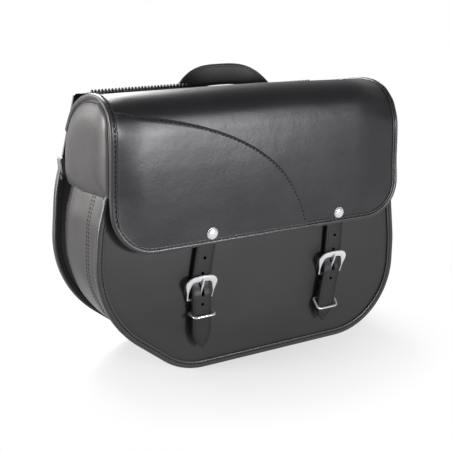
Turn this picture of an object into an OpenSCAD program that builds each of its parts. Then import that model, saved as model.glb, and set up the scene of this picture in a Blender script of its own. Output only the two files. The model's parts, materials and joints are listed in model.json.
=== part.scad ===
// Leather motorcycle saddlebag: box body with bound edges, rounded lid with a long front flap,
// two buckled closing straps, padded lid ends, a half zip and a carrying handle.
// Lengths are millimetres. +X runs along the bag, the front faces -Y, +Z is up.
// The origin is the centre of the bolt pattern, on the rear face of the back plate.
// Heights inside the modules count from the underside of the bag; placed() lowers them.

/* [Body] */
// Height of the stiff back panel
back_h = 290; // [270:5:310]
// Height of the bag's mouth, at the top of the front panel
mouth_h = 244; // [236:2:250]
// Distance from the bolting face to the outer face of the front panel
depth = 126; // [110:2:150]
// Thickness of the leather panels
leather_t = 3; // [2.5:0.1:3.5]
// Thickness of the stiffening boards
board_t = 2.2; // [1.8:0.1:2.4]
// Thickness of the cloth lining
lining_t = 0.8; // [0.5:0.1:1]
// Width of the binding that wraps the panel edges
binding_w = 8; // [7:0.5:9]

/* [Mounting] */
// Height of the centre of the bolt pattern above the underside
bolt_h = 165; // [140:5:180]
// Distance between the bolt holes along the bag
bolt_dx = 180; // [140:5:200]
// Distance between the upper and lower bolt holes
bolt_dz = 70; // [50:5:90]
// Radius of the hole in each grommet, for an M8 bolt
bolt_r = 4.25; // [3.25:0.25:4.5]
// Thickness of the back plate
plate_t = 2.5; // [2:0.5:3]

/* [Lid] */
// Half length of the lid
lid_half = 180.5; // [178:0.5:184]
// Position of the middle of the lid along the bag
lid_x = -7.5; // [-9:0.5:-6]
// Height of the highest line of the lid
lid_top = 302; // [300:1:304]
// Height of the lower edge of the flap
flap_h = 143; // [138:1:148]
// Radius of the lower corners of the flap
flap_r = 46; // [20:2:60]
// Height of the rivets that hold the straps to the flap
rivet_h = 155; // [152:1:160]
// How far each padded lid end bulges
puff = 4; // [2:0.5:6]

/* [Closures] */
// Distance of each strap from the middle of the bag, before its sideways lean
strap_x = 85; // [70:1:100]
// Width of the straps
strap_w = 23; // [22:0.5:24]
// Thickness of the straps
strap_t = 3.5; // [3:0.1:3.5]
// Height of the tip of the straps
tip_h = 28; // [24:1:32]
// Height of the buckle bars
bar_h = 82.5; // [82:0.5:84]
// Radius of the buckle bar wire
bar_r = 1.7; // [1.5:0.1:1.8]
// Height of the bar of the left wire keeper
keeper_h_left = 67.5; // [66:0.5:69]
// Height of the bar of the right wire keeper
keeper_h_right = 54; // [53:0.5:55]
// Height of the hidden snap behind the left strap
snap_h_left = 52; // [51:0.5:53]
// Height of the hidden snap behind the right strap
snap_h_right = 70; // [69:0.5:70]
// Reach of the keeper loop in front of its bar
keeper_reach = 14; // [13:0.5:15]
// Tilt of the left keeper below level
keeper_tilt_left = 5; // [0:1:20]
// Tilt of the right keeper below level
keeper_tilt_right = 44; // [20:1:46]

/* [Zip and handle] */
// Pitch of the moulded zip teeth
tooth_pitch = 4; // [3.5:0.5:5]
// Half length of the row of teeth
zip_half = 150; // [130:2:156]
// Position of the middle of the handle along the bag
handle_x = 20; // [0:1:30]
// Half distance between the ends of the handle
handle_half = 65; // [60:1:75]
// Width of the handle strap
handle_w = 25; // [22:1:28]

/* [Hidden] */
$fn = 48;

leather = [0.09, 0.09, 0.1];
edge_leather = [0.14, 0.14, 0.15];
metal = [0.85, 0.86, 0.88];
far = 400;
eps = 0.01;
gap = 0.2;

// Layers of the back wall, from the bolting face forward.
panel_rear = -plate_t;
panel_front = panel_rear - leather_t;
flange_t = 2.5;
back_flange = panel_front - gap;
back_inner = back_flange - flange_t;
// Layers of the front wall.
front_face = -depth;
front_rear = front_face + leather_t;
front_flange = front_rear + gap;
front_inner = front_flange + flange_t;
binding_lip = 1.3;
binding_wrap = 2.2;
gusset_in = binding_w - 1;
board_in = gusset_in + leather_t + 1;

// Corners of the panels as [x, height, rounding radius], counter-clockwise.
lower_corners = [
    [-207.5, 80, 115],
    [-107.5, 0, 75],
    [179.5, 0, 83],
    [180.5, 110, 150],
];
back_corners = concat(
    [[162.5, back_h, 4], [-169.5, back_h, 4], [-197.5, 190, 150]],
    lower_corners
);
front_corners = concat(
    [[168, mouth_h + 20, 1], [-184, mouth_h + 20, 1], [-185.2, 197, 8], [-197, 185, 12]],
    lower_corners,
    [[170, 196, 60]]
);

// Lid section as [y, height] along its outer face, from the hinge over the top to the flap edge.
hinge_y = -10;
hinge_z = 283;
lid_rear = [-11.5, hinge_z + 2];
nose_r = 34;
nose_c = [-104, lid_top - nose_r];
flap_foot = [-139.5, flap_h];
flap_t = 3;
lid_path = concat(
    [lid_rear],
    [for (a = [-10:10:80]) nose_c + nose_r * [-sin(a), cos(a)]],
    [[nose_c.x - nose_r, nose_c.y], flap_foot]
);
lid_lip = 1.1;
cap_in = flap_t + lid_lip + 0.15;
cap_rear = -13;
cap_low_rear = 195.5;
cap_thick = 2.4;

// Middle of the straps: close to the panel above the buckle, pushed forward by the bar below it.
strap_high_y = front_face - 5.5;
strap_low_y = front_face - 9.8;
strap_top = flap_h - 3;
bend_low = bar_h + 5;
bend_high = bar_h + 19;
bend_steps = 8;
hole_r = 2;
hole_pitch = 16.5;
slot_low = 2.6;
slot_high = 15.5;
slot_w = 4.6;
bar_y = front_face - 4.2;
bar_fit = 0.05;
wrap_r = 3.4;
chape_t = 3.4;
chape_w = 19.5;
chape_low = 40;
frame_lean = 17;
frame_t = 3;
leg_in = strap_w / 2 + 1.9;
leg_out = 17.5;
prong_w = 3.2;
prong_t = 2.2;
keeper_y = front_face - 2.9;
keeper_wire = 1.2;
keeper_wrap_r = 2.5;
// The straps lean a little sideways: [height, shift] along each one.
drift_left = [[28, -3], [92, -3], [110, -0.5], [135, 4], [155, 7.9]];
drift_right = [
    [27, -15], [42, -10], [62, -7.8], [92, -1.8], [105, 0.6], [135, 3], [155, 2.2],
];

function unit(v) = v / norm(v);
function bezier(a, b, c, t) = (1 - t) * (1 - t) * a + 2 * t * (1 - t) * b + t * t * c;
// Turns an angle into the range from -180 to 180 degrees.
function wrapped(a) = a > 180 ? a - 360 : a < -180 ? a + 360 : a;
function flat2(p) = [p.x, p.y];

// Arc of radius r that rounds the corner p between its neighbours a and b.
function corner_arc(a, p, b, r, steps) =
    let (u = unit(a - p), v = unit(b - p), half = acos(u * v) / 2,
         centre = p + unit(u + v) * r / sin(half),
         from = p + u * r / tan(half) - centre,
         to = p + v * r / tan(half) - centre,
         start = atan2(from.y, from.x),
         sweep = wrapped(atan2(to.y, to.x) - start))
    [for (i = [0:steps]) centre + r * [cos(start + sweep * i / steps), sin(start + sweep * i / steps)]];

// Moves every corner of an outline inwards by d and keeps the roundings parallel.
function inset(corners, d) =
    [for (i = [0:len(corners) - 1])
        let (n = len(corners), p = flat2(corners[i]), a = flat2(corners[(i + n - 1) % n]),
             b = flat2(corners[(i + 1) % n]), u = unit(a - p), v = unit(b - p),
             half = acos(u * v) / 2, s = cross(p - a, b - p) >= 0 ? 1 : -1,
             q = p + s * unit(u + v) * d / sin(half))
        [q.x, q.y, max(corners[i][2] - s * d, 0.5)]];

function rounded(corners) =
    [for (i = [0:len(corners) - 1])
        let (n = len(corners), r = corners[i][2])
        each corner_arc(flat2(corners[(i + n - 1) % n]), flat2(corners[i]),
                        flat2(corners[(i + 1) % n]), r, r < 20 ? 3 : 9)];

// Parallel copy of an open path, d to its left.
function beside(path, d) =
    [for (i = [0:len(path) - 1])
        let (n = len(path), a = path[max(i - 1, 0)], b = path[min(i + 1, n - 1)], t = unit(b - a))
        path[i] + d * [-t.y, t.x]];
function smooth(t) = t * t * (3 - 2 * t);
function reversed(list) = [for (i = [len(list) - 1:-1:0]) list[i]];

// Middle of a strap along the bag at height h; side is -1 for the left one and 1 for the right one.
function drift(side) = side < 0 ? drift_left : drift_right;
function strap_c(side, h) = side * strap_x + lookup(h, drift(side));
function buckle_c(side) = strap_c(side, bar_h + 11.5);
function keeper_h(side) = side < 0 ? keeper_h_left : keeper_h_right;
function keeper_c(side) = strap_c(side, keeper_h(side) - 2);
function keeper_half(side) = strap_w / 2 + keeper_wire + (side < 0 ? 0.3 : 0.9);
function snap_h(side) = side < 0 ? snap_h_left : snap_h_right;

module placed() translate([0, 0, -bolt_h]) children();
module along_x(x0, x1) translate([x0, 0, 0]) rotate([90, 0, 90]) linear_extrude(x1 - x0) children();
module along_y(y0, y1) translate([0, y1, 0]) rotate([90, 0, 0]) linear_extrude(y1 - y0) children();
module rod_x(r, half) rotate([0, 90, 0]) cylinder(r = r, h = 2 * half, center = true);
module rod_y(r, y0, y1) translate([0, y1, 0]) rotate([90, 0, 0]) cylinder(r = r, h = y1 - y0);
module sheet(corners, d) polygon(rounded(inset(corners, d)));
module band(corners, outer, inner) difference() {
    sheet(corners, outer);
    sheet(corners, inner);
}
// Strip of width w along an open path.
module ribbon(path, w) polygon(concat(beside(path, w / 2), reversed(beside(path, -w / 2))));
// Keeps the part of a drawing that lies below a height.
module below(h) intersection() {
    children();
    translate([-far, -far]) square([2 * far, far + h]);
}
module between(h0, h1) intersection() {
    children();
    translate([-far, h0]) square([2 * far, h1 - h0]);
}
// Front view of a length of strap, from [height, half width] pairs.
module strap_view(side, rows) polygon(concat(
    [for (r = rows) [strap_c(side, r[0]) + r[1], r[0]]],
    reversed([for (r = rows) [strap_c(side, r[0]) - r[1], r[0]]])
));
module bolt_places() for (x = [-1, 1], z = [-1, 1])
    translate([x * bolt_dx / 2, 0, bolt_h + z * bolt_dz / 2]) children();

// Body ------------------------------------------------------------------------------------------

plate_w = bolt_dx + 60;
plate_h = bolt_dz + 50;
eyelet_r = bolt_r + 1.5;
eyelet_flange = bolt_r + 4;
module back_plate() placed() color([0.2, 0.2, 0.22]) difference() {
    along_y(-plate_t, 0) sheet([
        [plate_w / 2, bolt_h + plate_h / 2, 12], [-plate_w / 2, bolt_h + plate_h / 2, 12],
        [-plate_w / 2, bolt_h - plate_h / 2, 12], [plate_w / 2, bolt_h - plate_h / 2, 12],
    ], 0);
    bolt_places() rod_y(eyelet_r + 0.1, -far, far);
}

module back_panel() placed() color(leather) difference() {
    along_y(panel_front, panel_rear) sheet(back_corners, binding_wrap + gap);
    bolt_places() rod_y(eyelet_r + 0.1, -far, far);
    tab_rivet_places() rod_y(tab_rivet_r + 0.1, -far, far);
}

board_top = hinge_z - 12;
module back_stiffener() placed() color([0.3, 0.3, 0.32]) difference() {
    along_y(back_flange - board_t, back_flange) below(board_top) sheet(back_corners, board_in + 2);
    // Below the mouth the board is stepped in, clear of the gusset's rear flange.
    along_y(back_inner - 1, panel_front) below(mouth_h + 1) band(front_corners, -far / 4, board_in);
    bolt_places() rod_y(eyelet_r + 0.1, -far, far);
    tab_rivet_places() rod_y(tab_rivet_r + 0.1, -far, far);
}

// A folded strip round the edge of a panel, with a lip w0 wide before y0 and w1 wide behind y1.
module edge_binding(corners, top, y0, y1, w0, w1) {
    along_y(y0 - binding_lip, y0 + eps) below(top) band(corners, 0, w0);
    along_y(y0, y1) below(top) band(corners, 0, binding_wrap);
    along_y(y1 - eps, y1 + binding_lip) below(top) band(corners, 0, w1);
}

binding_top = 214;
inner_lip = gusset_in - 0.15;
module back_binding() placed() color(edge_leather)
    edge_binding(back_corners, binding_top, back_inner - 0.1, panel_rear + 0.1, inner_lip, binding_w);

module gusset() placed() color(leather) difference() {
    union() {
        along_y(front_inner - eps, back_inner + eps) below(mouth_h)
            band(front_corners, gusset_in, gusset_in + leather_t);
        along_y(front_flange, front_inner) below(mouth_h)
            band(front_corners, binding_wrap + gap, gusset_in + leather_t);
        along_y(back_inner, back_flange) below(mouth_h)
            band(front_corners, binding_wrap + gap, gusset_in + leather_t);
    }
    // The rear flange is trimmed to the outline of the back panel, under its binding.
    along_y(back_inner - 0.1 - gap, panel_front) below(binding_top + gap)
        band(back_corners, -far / 4, binding_wrap + 0.1);
    along_y(back_inner - 0.1 - binding_lip - gap, back_inner) below(binding_top + gap)
        band(back_corners, -far / 4, inner_lip + 0.1);
}

snap_hole_r = 1.6;
module snap_place(side) translate([strap_c(side, snap_h(side)), 0, snap_h(side)]) children();
module snap_places() for (side = [-1, 1]) snap_place(side) children();
module front_panel() placed() color(leather) difference() {
    along_y(front_face, front_rear) below(mouth_h) sheet(front_corners, binding_wrap + gap);
    snap_places() rod_y(snap_hole_r, -far, far);
}

module front_stiffener() placed() color([0.3, 0.3, 0.32]) difference() {
    along_y(front_flange, front_flange + board_t) below(mouth_h - 1) sheet(front_corners, board_in);
    snap_places() rod_y(snap_hole_r, -far, far);
}

trim_h = 8;
module front_binding() placed() color(edge_leather)
    edge_binding(front_corners, mouth_h - trim_h - 0.5, front_face - 0.1, front_inner + 0.1,
                 binding_w, inner_lip);

// Folded strip over the rim of the front panel and the gusset.
module mouth_trim() placed() color(edge_leather) difference() {
    union() {
        along_y(front_face - binding_lip, front_inner + binding_lip)
            between(mouth_h - trim_h, mouth_h + 2) sheet(front_corners, 1);
        along_y(front_inner + binding_lip - eps, back_inner - 2)
            between(mouth_h - trim_h, mouth_h + 2)
                band(front_corners, gusset_in - binding_lip, gusset_in + leather_t + binding_lip);
    }
    along_y(front_face - 0.1, front_inner + 0.1) below(mouth_h + 0.1) sheet(front_corners, -5);
    along_y(front_inner, back_inner) below(mouth_h + 0.1)
        band(front_corners, gusset_in - 0.1, gusset_in + leather_t + 0.1);
}

lining_out = gusset_in + leather_t + gap;
lining_front = front_flange + board_t + gap;
lining_back = back_inner - gap;
module lining() placed() color([0.2, 0.2, 0.21]) difference() {
    along_y(lining_front, lining_back) below(mouth_h - trim_h - 1) sheet(front_corners, lining_out);
    along_y(lining_front + lining_t, lining_back - lining_t) below(far)
        sheet(front_corners, lining_out + lining_t);
    bolt_places() rod_y(eyelet_flange + 0.5, -far, far);
    snap_places() rod_y(stud_flange_r + 0.3, -far, far);
}

// The board lies on the flat part of the bottom, between the rounded corners.
board_y0 = lining_front + lining_t + 1;
board_y1 = lining_back - lining_t - 1;
board_x0 = -75.5;
board_x1 = 92.5;
module base_board() placed() color([0.25, 0.25, 0.26])
    translate([board_x0, board_y0, lining_out + lining_t + gap])
        cube([board_x1 - board_x0, board_y1 - board_y0, board_t]);

eyelet_inner = lining_back - 1.4;
module grommets() placed() color(metal) bolt_places() difference() {
    union() {
        rod_y(eyelet_r, eyelet_inner, 0);
        rod_y(eyelet_flange, eyelet_inner, eyelet_inner + 1.2);
    }
    rod_y(bolt_r, -far, far);
}

stud_r = 3.4;
stud_base_r = 5.5;
stud_flange_r = 5;
stud_tail = front_flange + board_t + 1.2;
module snap_stud(side) placed() color(metal) snap_place(side) {
    rod_y(stud_base_r, front_face - 0.7, front_face - eps);
    rod_y(stud_r, front_face - 3.2, front_face - 0.6);
    rod_y(snap_hole_r - 0.1, front_face - 1, stud_tail);
    rod_y(stud_flange_r, stud_tail - 1.1, stud_tail);
}
module snap_stud_left() snap_stud(-1);
module snap_stud_right() snap_stud(1);

// Small folded leather tabs that close the upper ends of the back binding.
module flange_tabs() placed() color([0.45, 0.45, 0.46]) for (s = [-1, 1])
    translate([s < 0 ? -194.5 : 167.5, 0, binding_top + 0.4])
        along_y(back_inner - 3, panel_rear + 1) difference() {
            polygon([[-3, 0], [10, 0], [13, 20], [4, 22]]);
            translate([s < 0 ? 4.3 : -9, -far]) square([14, 2 * far]);
        }

// Zip half and handle ---------------------------------------------------------------------------

tape_y0 = panel_rear + gap;
tape_t = 1;
tape_low = back_h - 7;
tape_high = back_h - 1;
module zip_tape() placed() color([0.03, 0.03, 0.03])
    translate([-zip_half - 4, tape_y0, tape_low]) cube([2 * zip_half + 8, tape_t, tape_high - tape_low]);

tooth_w = 2.2;
module zip_teeth() placed() color([0.05, 0.05, 0.05])
    for (x = [-zip_half + 2:tooth_pitch:zip_half - 8])
        translate([x, 0, tape_high + gap]) along_x(-tooth_w / 2, tooth_w / 2)
            polygon([[-3.6, 0], [0.4, 0], [0.4, 2], [-0.6, 3.6], [-2.6, 3.6], [-3.6, 2]]);

module zip_pin_box() placed() color([0.05, 0.05, 0.05])
    translate([zip_half - 4, -3.8, tape_high + gap]) cube([7, 4.4, 5]);

// The handle is a strap on edge that bows out behind the bag: its plan curve and its front view
// are cut from one another. Its ends run down to two tabs that lie flat on the back panel.
handle_t = 4;
handle_bulge = 11;
handle_rise = 37.5;
handle_power = 3.4;
handle_foot = 262;
handle_y = tape_y0 + tape_t + 0.1 + handle_t / 2;
handle_rear = handle_y + handle_t / 2;
handle_steps = [-90:10:90];
handle_plan = [for (a = handle_steps)
    [handle_half * sin(a), handle_y + handle_bulge * (1 - pow(abs(sin(a)), handle_power))]];
handle_view = [for (a = handle_steps)
    [handle_half * sin(a), handle_rise * (1 - pow(abs(sin(a)), handle_power))]];
module handle() placed() color(leather) translate([handle_x, 0, handle_foot]) intersection() {
    translate([0, 0, -handle_w]) linear_extrude(4 * handle_w) ribbon(handle_plan, handle_t);
    along_y(-10, 60) ribbon(handle_view, handle_w);
}

tab_len = 26;
tab_slope = atan(handle_rise * handle_power / handle_half);
tab_rivet_r = 2;
module tab_places() for (s = [0, 1])
    translate([handle_x, 0, handle_foot]) mirror([s, 0, 0]) translate([handle_half, 0, 0])
        rotate([0, tab_slope, 0]) children();
module tab_rivet_places() tab_places() for (d = [8, 18]) translate([d, 0, 0]) children();
module handle_tabs() placed() color(leather) difference() {
    tab_places() along_y(panel_rear + 0.1, handle_rear) sheet([
        [tab_len, handle_w / 2, 10], [0.8, handle_w / 2, 0.5],
        [0.8, -handle_w / 2, 0.5], [tab_len, -handle_w / 2, 10],
    ], 0);
    tab_rivet_places() rod_y(tab_rivet_r + 0.1, -far, far);
}

rivet_tail = back_flange - board_t - 0.1;
module handle_rivets() placed() color(metal) tab_rivet_places() {
    rod_y(tab_rivet_r, rivet_tail - 1, handle_rear + 1.2);
    rod_y(4, rivet_tail - 1, rivet_tail);
    rod_y(5, handle_rear + 0.1, handle_rear + 1.4);
}

// Lid -------------------------------------------------------------------------------------------

// Front view of the flap: straight sides, rounded lower corners, open at the top.
lid_x0 = lid_x - lid_half;
lid_x1 = lid_x + lid_half;
flap_corners = [
    [lid_x1, 500, 1], [lid_x0, 500, 1], [lid_x0, flap_h, flap_r], [lid_x1, flap_h, flap_r],
];
module lid_layer(outer, inner) along_x(-far, far)
    polygon(concat(beside(lid_path, -outer), reversed(beside(lid_path, -inner))));

// Rivet axes stand square to the sloping face of the flap.
rivet_r = 2;
flap_lean = atan((nose_c.x - nose_r - flap_foot.x) / (nose_c.y - flap_foot.y));
rivet_face = nose_c.x - nose_r - (nose_c.y - rivet_h) * tan(flap_lean);
module rivet_place(side) translate([strap_c(side, rivet_h), rivet_face, rivet_h])
    rotate([-flap_lean, 0, 0]) children();
module rivet_places() for (side = [-1, 1]) rivet_place(side) children();

lid_wrap = 1.6;
module lid_shell() placed() color(leather) difference() {
    intersection() {
        lid_layer(0, -flap_t);
        along_y(-far, far) sheet(flap_corners, lid_wrap + 0.1);
    }
    rivet_places() rod_y(rivet_r + 0.1, -20, 20);
}

lid_binding_w = 5.6;
module lid_binding() placed() color(edge_leather) difference() {
    intersection() {
        lid_layer(lid_lip, -flap_t - lid_lip);
        along_y(-far, far) band(flap_corners, 0, lid_binding_w);
    }
    intersection() {
        lid_layer(0.05, -flap_t - 0.05);
        along_y(-far, far) sheet(flap_corners, lid_wrap);
    }
    along_x(-far, far) translate([hinge_y - 4, hinge_z - 20]) square([20, 40]);
}

// The overlay covers the flap's lower left, under a falling curved seam.
overlay_in = 6.5;
overlay_top = 285.5;
overlay_end = 45;
overlay_steps = 14;
overlay_seam = [for (i = [0:overlay_steps])
    bezier([lid_x0 + overlay_in, overlay_top], [19, 265], [overlay_end, flap_h + 4], i / overlay_steps)];
overlay_t = 1.1;
module lid_overlay() placed() color([0.12, 0.12, 0.13]) difference() {
    intersection() {
        lid_layer(overlay_t, 0.05);
        along_y(-far, far) intersection() {
            polygon(concat(
                [[lid_x0 + overlay_in, flap_h - 10]], overlay_seam, [[overlay_end, flap_h - 10]]
            ));
            sheet(flap_corners, overlay_in);
        }
    }
    rivet_place(-1) rod_y(rivet_r + 0.1, -20, 20);
}

module lid_stiffener() placed() color([0.3, 0.3, 0.32]) intersection() {
    lid_layer(-flap_t - 0.2, -flap_t - 0.2 - board_t);
    translate([lid_x0 + 12, -92, 0]) cube([2 * lid_half - 24, 66, far]);
}

// Side view of a lid end: it follows the lid's section, with a rounded rear and a bound lower edge.
cap_top = beside(lid_path, cap_in);
module cap_side(d) offset(delta = -d) intersection() {
    polygon(concat(cap_top, [[-far, 0], [-far + 1, 0], [far, 0], [far, cap_top[0].y]]));
    polygon(rounded([
        [cap_rear, 291, 46], [-131.5, 291, 26], [-132, 245, 40],
        [-120, 202, 3], [cap_rear, cap_low_rear, 12],
    ]));
}
module cap_hull(d, x_rim, x_crown, crown_in) hull() {
    along_x(x_rim, x_rim + 0.4) cap_side(d);
    along_x(x_crown, x_crown + 0.4) cap_side(crown_in + d);
}
// The left end is modelled as the mirror image of the right one.
module handed(side) translate([lid_x, 0, 0]) mirror([side > 0 ? 0 : 1, 0, 0]) children();
crown_in = 16;
cap_rim = lid_half - 2.4;
cap_crown = lid_half + puff - 0.4;
cap_rivet_r = 1.2;
cap_washer_r = 2.6;
module cap_rivet_place() translate([0, cap_rear - 6, cap_low_rear + 9]) children();
module end_cap(side) placed() color([0.3, 0.29, 0.29]) handed(side) difference() {
    cap_hull(0, cap_rim, cap_crown, crown_in);
    cap_hull(cap_thick, cap_rim - 0.2, cap_crown - cap_thick, crown_in);
    cap_rivet_place() rod_x(cap_rivet_r + 0.1, far);
}
module end_cap_left() end_cap(-1);
module end_cap_right() end_cap(1);
module cap_foam(side) placed() color([0.6, 0.6, 0.55]) handed(side) difference() {
    cap_hull(cap_thick + 0.5, cap_rim - 0.2, cap_crown - cap_thick - 0.3, crown_in);
    cap_rivet_place() rod_x(cap_rivet_r + 0.1, far);
}
module cap_foam_left() cap_foam(-1);
module cap_foam_right() cap_foam(1);

// One small rivet at the lower rear corner of each lid end.
module cap_rivets() placed() color(metal) for (side = [-1, 1]) handed(side) cap_rivet_place() {
    translate([lid_half + 1, 0, 0]) rod_x(cap_rivet_r, 5);
    translate([lid_half + 6, 0, 0]) rod_x(cap_washer_r, 0.6);
    translate([cap_rim - 1, 0, 0]) rod_x(cap_washer_r, 0.6);
}

rivet_cap_r = 6.2;
rivet_dome_r = 11.4;
rivet_reach = strap_high_y + strap_t / 2 - rivet_face + 0.8;
module flap_rivets() placed() color(metal) for (side = [-1, 1]) rivet_place(side) {
    lift = side < 0 ? overlay_t + 0.1 : 0.1;
    rod_y(rivet_r, -lift - 0.5, rivet_reach);
    rod_y(rivet_r + 2, rivet_reach - 0.4, rivet_reach + 0.4);
    translate([0, -lift, 0]) rotate([90, 0, 0]) intersection() {
        translate([0, 0, 2 - rivet_dome_r]) sphere(r = rivet_dome_r);
        cylinder(r = rivet_cap_r, h = 10);
    }
}

// Top of each strap, riveted under the flap.
module strap_root(side) placed() color(leather) difference() {
    along_y(strap_high_y - strap_t / 2, strap_high_y + strap_t / 2)
        strap_view(side, [[strap_top + 0.4, strap_w / 2], [rivet_h + 12, strap_w / 2]]);
    rivet_place(side) rod_y(rivet_r + 0.1, -20, 20);
}
module strap_root_left() strap_root(-1);
module strap_root_right() strap_root(1);

// Closures --------------------------------------------------------------------------------------

slot_mid = bar_h + 11.75;
strap_side = concat(
    [[strap_high_y, strap_top]],
    [for (i = [0:bend_steps])
        let (t = i / bend_steps)
        [strap_high_y + (strap_low_y - strap_high_y) * smooth(t), bend_high + (bend_low - bend_high) * t]],
    [[strap_low_y, tip_h]]
);
// The tip tapers to a point: [height above the tip, share of the full width].
tip_taper = 21;
tip_shape = [[0.2, 0.03], [2, 0.28], [5, 0.55], [9, 0.76], [14, 0.92], [tip_taper, 1]];
module strap(side) placed() color(leather) difference() {
    intersection() {
        along_x(-far, far) ribbon(strap_side, strap_t);
        along_y(-far, far) strap_view(side, concat(
            [for (t = tip_shape) [tip_h + t[0], t[1] * strap_w / 2]],
            [for (d = drift(side)) if (d[0] > tip_h + tip_taper) [d[0], strap_w / 2]]
        ));
    }
    for (n = [-1, 1, 2])
        translate([strap_c(side, slot_mid + n * hole_pitch), 0, slot_mid + n * hole_pitch])
            rod_y(hole_r, -far, far);
    translate([buckle_c(side) - slot_w / 2, -far, bar_h + slot_low])
        cube([slot_w, 2 * far, slot_high - slot_low]);
}
module strap_left() strap(-1);
module strap_right() strap(1);

// The chape hangs behind the strap, with a loop for the buckle bar and one for the keeper.
chape_face = strap_low_y + strap_t / 2 + gap;
module bar_place(side) translate([buckle_c(side), bar_y, bar_h]) children();
module keeper_place(side) translate([keeper_c(side), keeper_y, keeper_h(side)]) children();
module chape(side) placed() color(edge_leather) difference() {
    union() {
        along_y(chape_face, chape_face + chape_t) hull() {
            translate([buckle_c(side) - chape_w / 2, bar_h - 8]) square([chape_w, 8]);
            strap_view(side, [[chape_low, chape_w / 2], [bar_h - 20, chape_w / 2]]);
        }
        bar_place(side) rod_x(wrap_r, chape_w / 2);
        keeper_place(side) rod_x(keeper_wrap_r, chape_w / 2 - 1);
    }
    bar_place(side) rod_x(bar_r + bar_fit, far);
    keeper_place(side) rod_x(keeper_wire + bar_fit, far);
    translate([buckle_c(side) - slot_w / 2, -far, bar_h - wrap_r - 1])
        cube([slot_w, 2 * far, 2 * wrap_r + 2]);
    snap_place(side) rod_y(socket_post_r + 0.1, -far, far);
}
module chape_left() chape(-1);
module chape_right() chape(1);

socket_face = chape_face + chape_t;
socket_r = 6.4;
socket_post_r = 2;
module snap_socket(side) placed() color(metal) snap_place(side) {
    difference() {
        rod_y(socket_r, socket_face + 0.1, front_face - 0.9);
        rod_y(stud_r + 0.5, socket_face + 0.8, 0);
    }
    rod_y(socket_post_r, socket_face - 1.4, socket_face + 0.9);
}
module snap_socket_left() snap_socket(-1);
module snap_socket_right() snap_socket(1);

// Half buckle: a straight bar, two tapering legs and a broad arch, leaning forward over the strap.
frame_outline = [
    [leg_out, 17, 6], [15.2, 28, 5.5], [-15.2, 28, 5.5], [-leg_out, 17, 6],
    [-leg_in - 1.4, -bar_r, 0.6], [leg_in + 1.4, -bar_r, 0.6],
];
frame_opening = [
    [leg_in, 17.5, 3], [0, 20.8, 20], [-leg_in, 17.5, 3], [-leg_in, bar_r, 0.6], [leg_in, bar_r, 0.6],
];
module buckle_frame(side) placed() color(metal) bar_place(side) difference() {
    union() {
        rod_x(bar_r, leg_in + 1.4);
        rotate([frame_lean, 0, 0]) along_y(-frame_t / 2, frame_t / 2) difference() {
            sheet(frame_outline, 0);
            sheet(frame_opening, 0);
            translate([-leg_in, -3]) square([2 * leg_in, 3 + bar_r + eps]);
        }
    }
}
module buckle_frame_left() buckle_frame(-1);
module buckle_frame_right() buckle_frame(1);

prong_side = [[0, 0], [-4.2, 10.5], [-8.9, 19.2], [-11.4, 27.5]];
module buckle_prong(side) placed() color(metal) bar_place(side) difference() {
    union() {
        rod_x(3.1, prong_w / 2);
        along_x(-prong_w / 2, prong_w / 2) ribbon(prong_side, prong_t);
    }
    rod_x(bar_r + bar_fit, far);
}
module buckle_prong_left() buckle_prong(-1);
module buckle_prong_right() buckle_prong(1);

module keeper(side, tilt) placed() color(metal)
    keeper_place(side) rotate([tilt, 0, 0]) {
        rod_x(keeper_wire, keeper_half(side));
        translate([0, -keeper_reach, 0]) rod_x(keeper_wire, keeper_half(side));
        for (s = [-1, 1]) translate([s * keeper_half(side), 0, 0]) {
            rod_y(keeper_wire, -keeper_reach, 0);
            sphere(r = keeper_wire);
            translate([0, -keeper_reach, 0]) sphere(r = keeper_wire);
        }
    }
module keeper_left() keeper(-1, keeper_tilt_left);
module keeper_right() keeper(1, keeper_tilt_right);

back_plate();
back_panel();
back_stiffener();
back_binding();
gusset();
front_panel();
front_stiffener();
front_binding();
mouth_trim();
lining();
base_board();
grommets();
zip_tape();
zip_teeth();
zip_pin_box();
handle_tabs();
handle_rivets();
handle();
flange_tabs();
snap_stud_left();
snap_stud_right();
lid_shell();
lid_binding();
lid_overlay();
lid_stiffener();
end_cap_left();
end_cap_right();
cap_foam_left();
cap_foam_right();
cap_rivets();
flap_rivets();
strap_root_left();
strap_root_right();
strap_left();
strap_right();
chape_left();
chape_right();
snap_socket_left();
snap_socket_right();
buckle_frame_left();
buckle_frame_right();
buckle_prong_left();
buckle_prong_right();
keeper_left();
keeper_right();
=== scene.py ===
"""Leather motorcycle saddlebag: the looks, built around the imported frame.

Lengths are millimetres until a point becomes a vertex. Heights count from the underside of the bag.
"""

import json
import math

import bmesh
import bpy
import numpy as np
from mathutils import Matrix, Vector, noise


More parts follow.
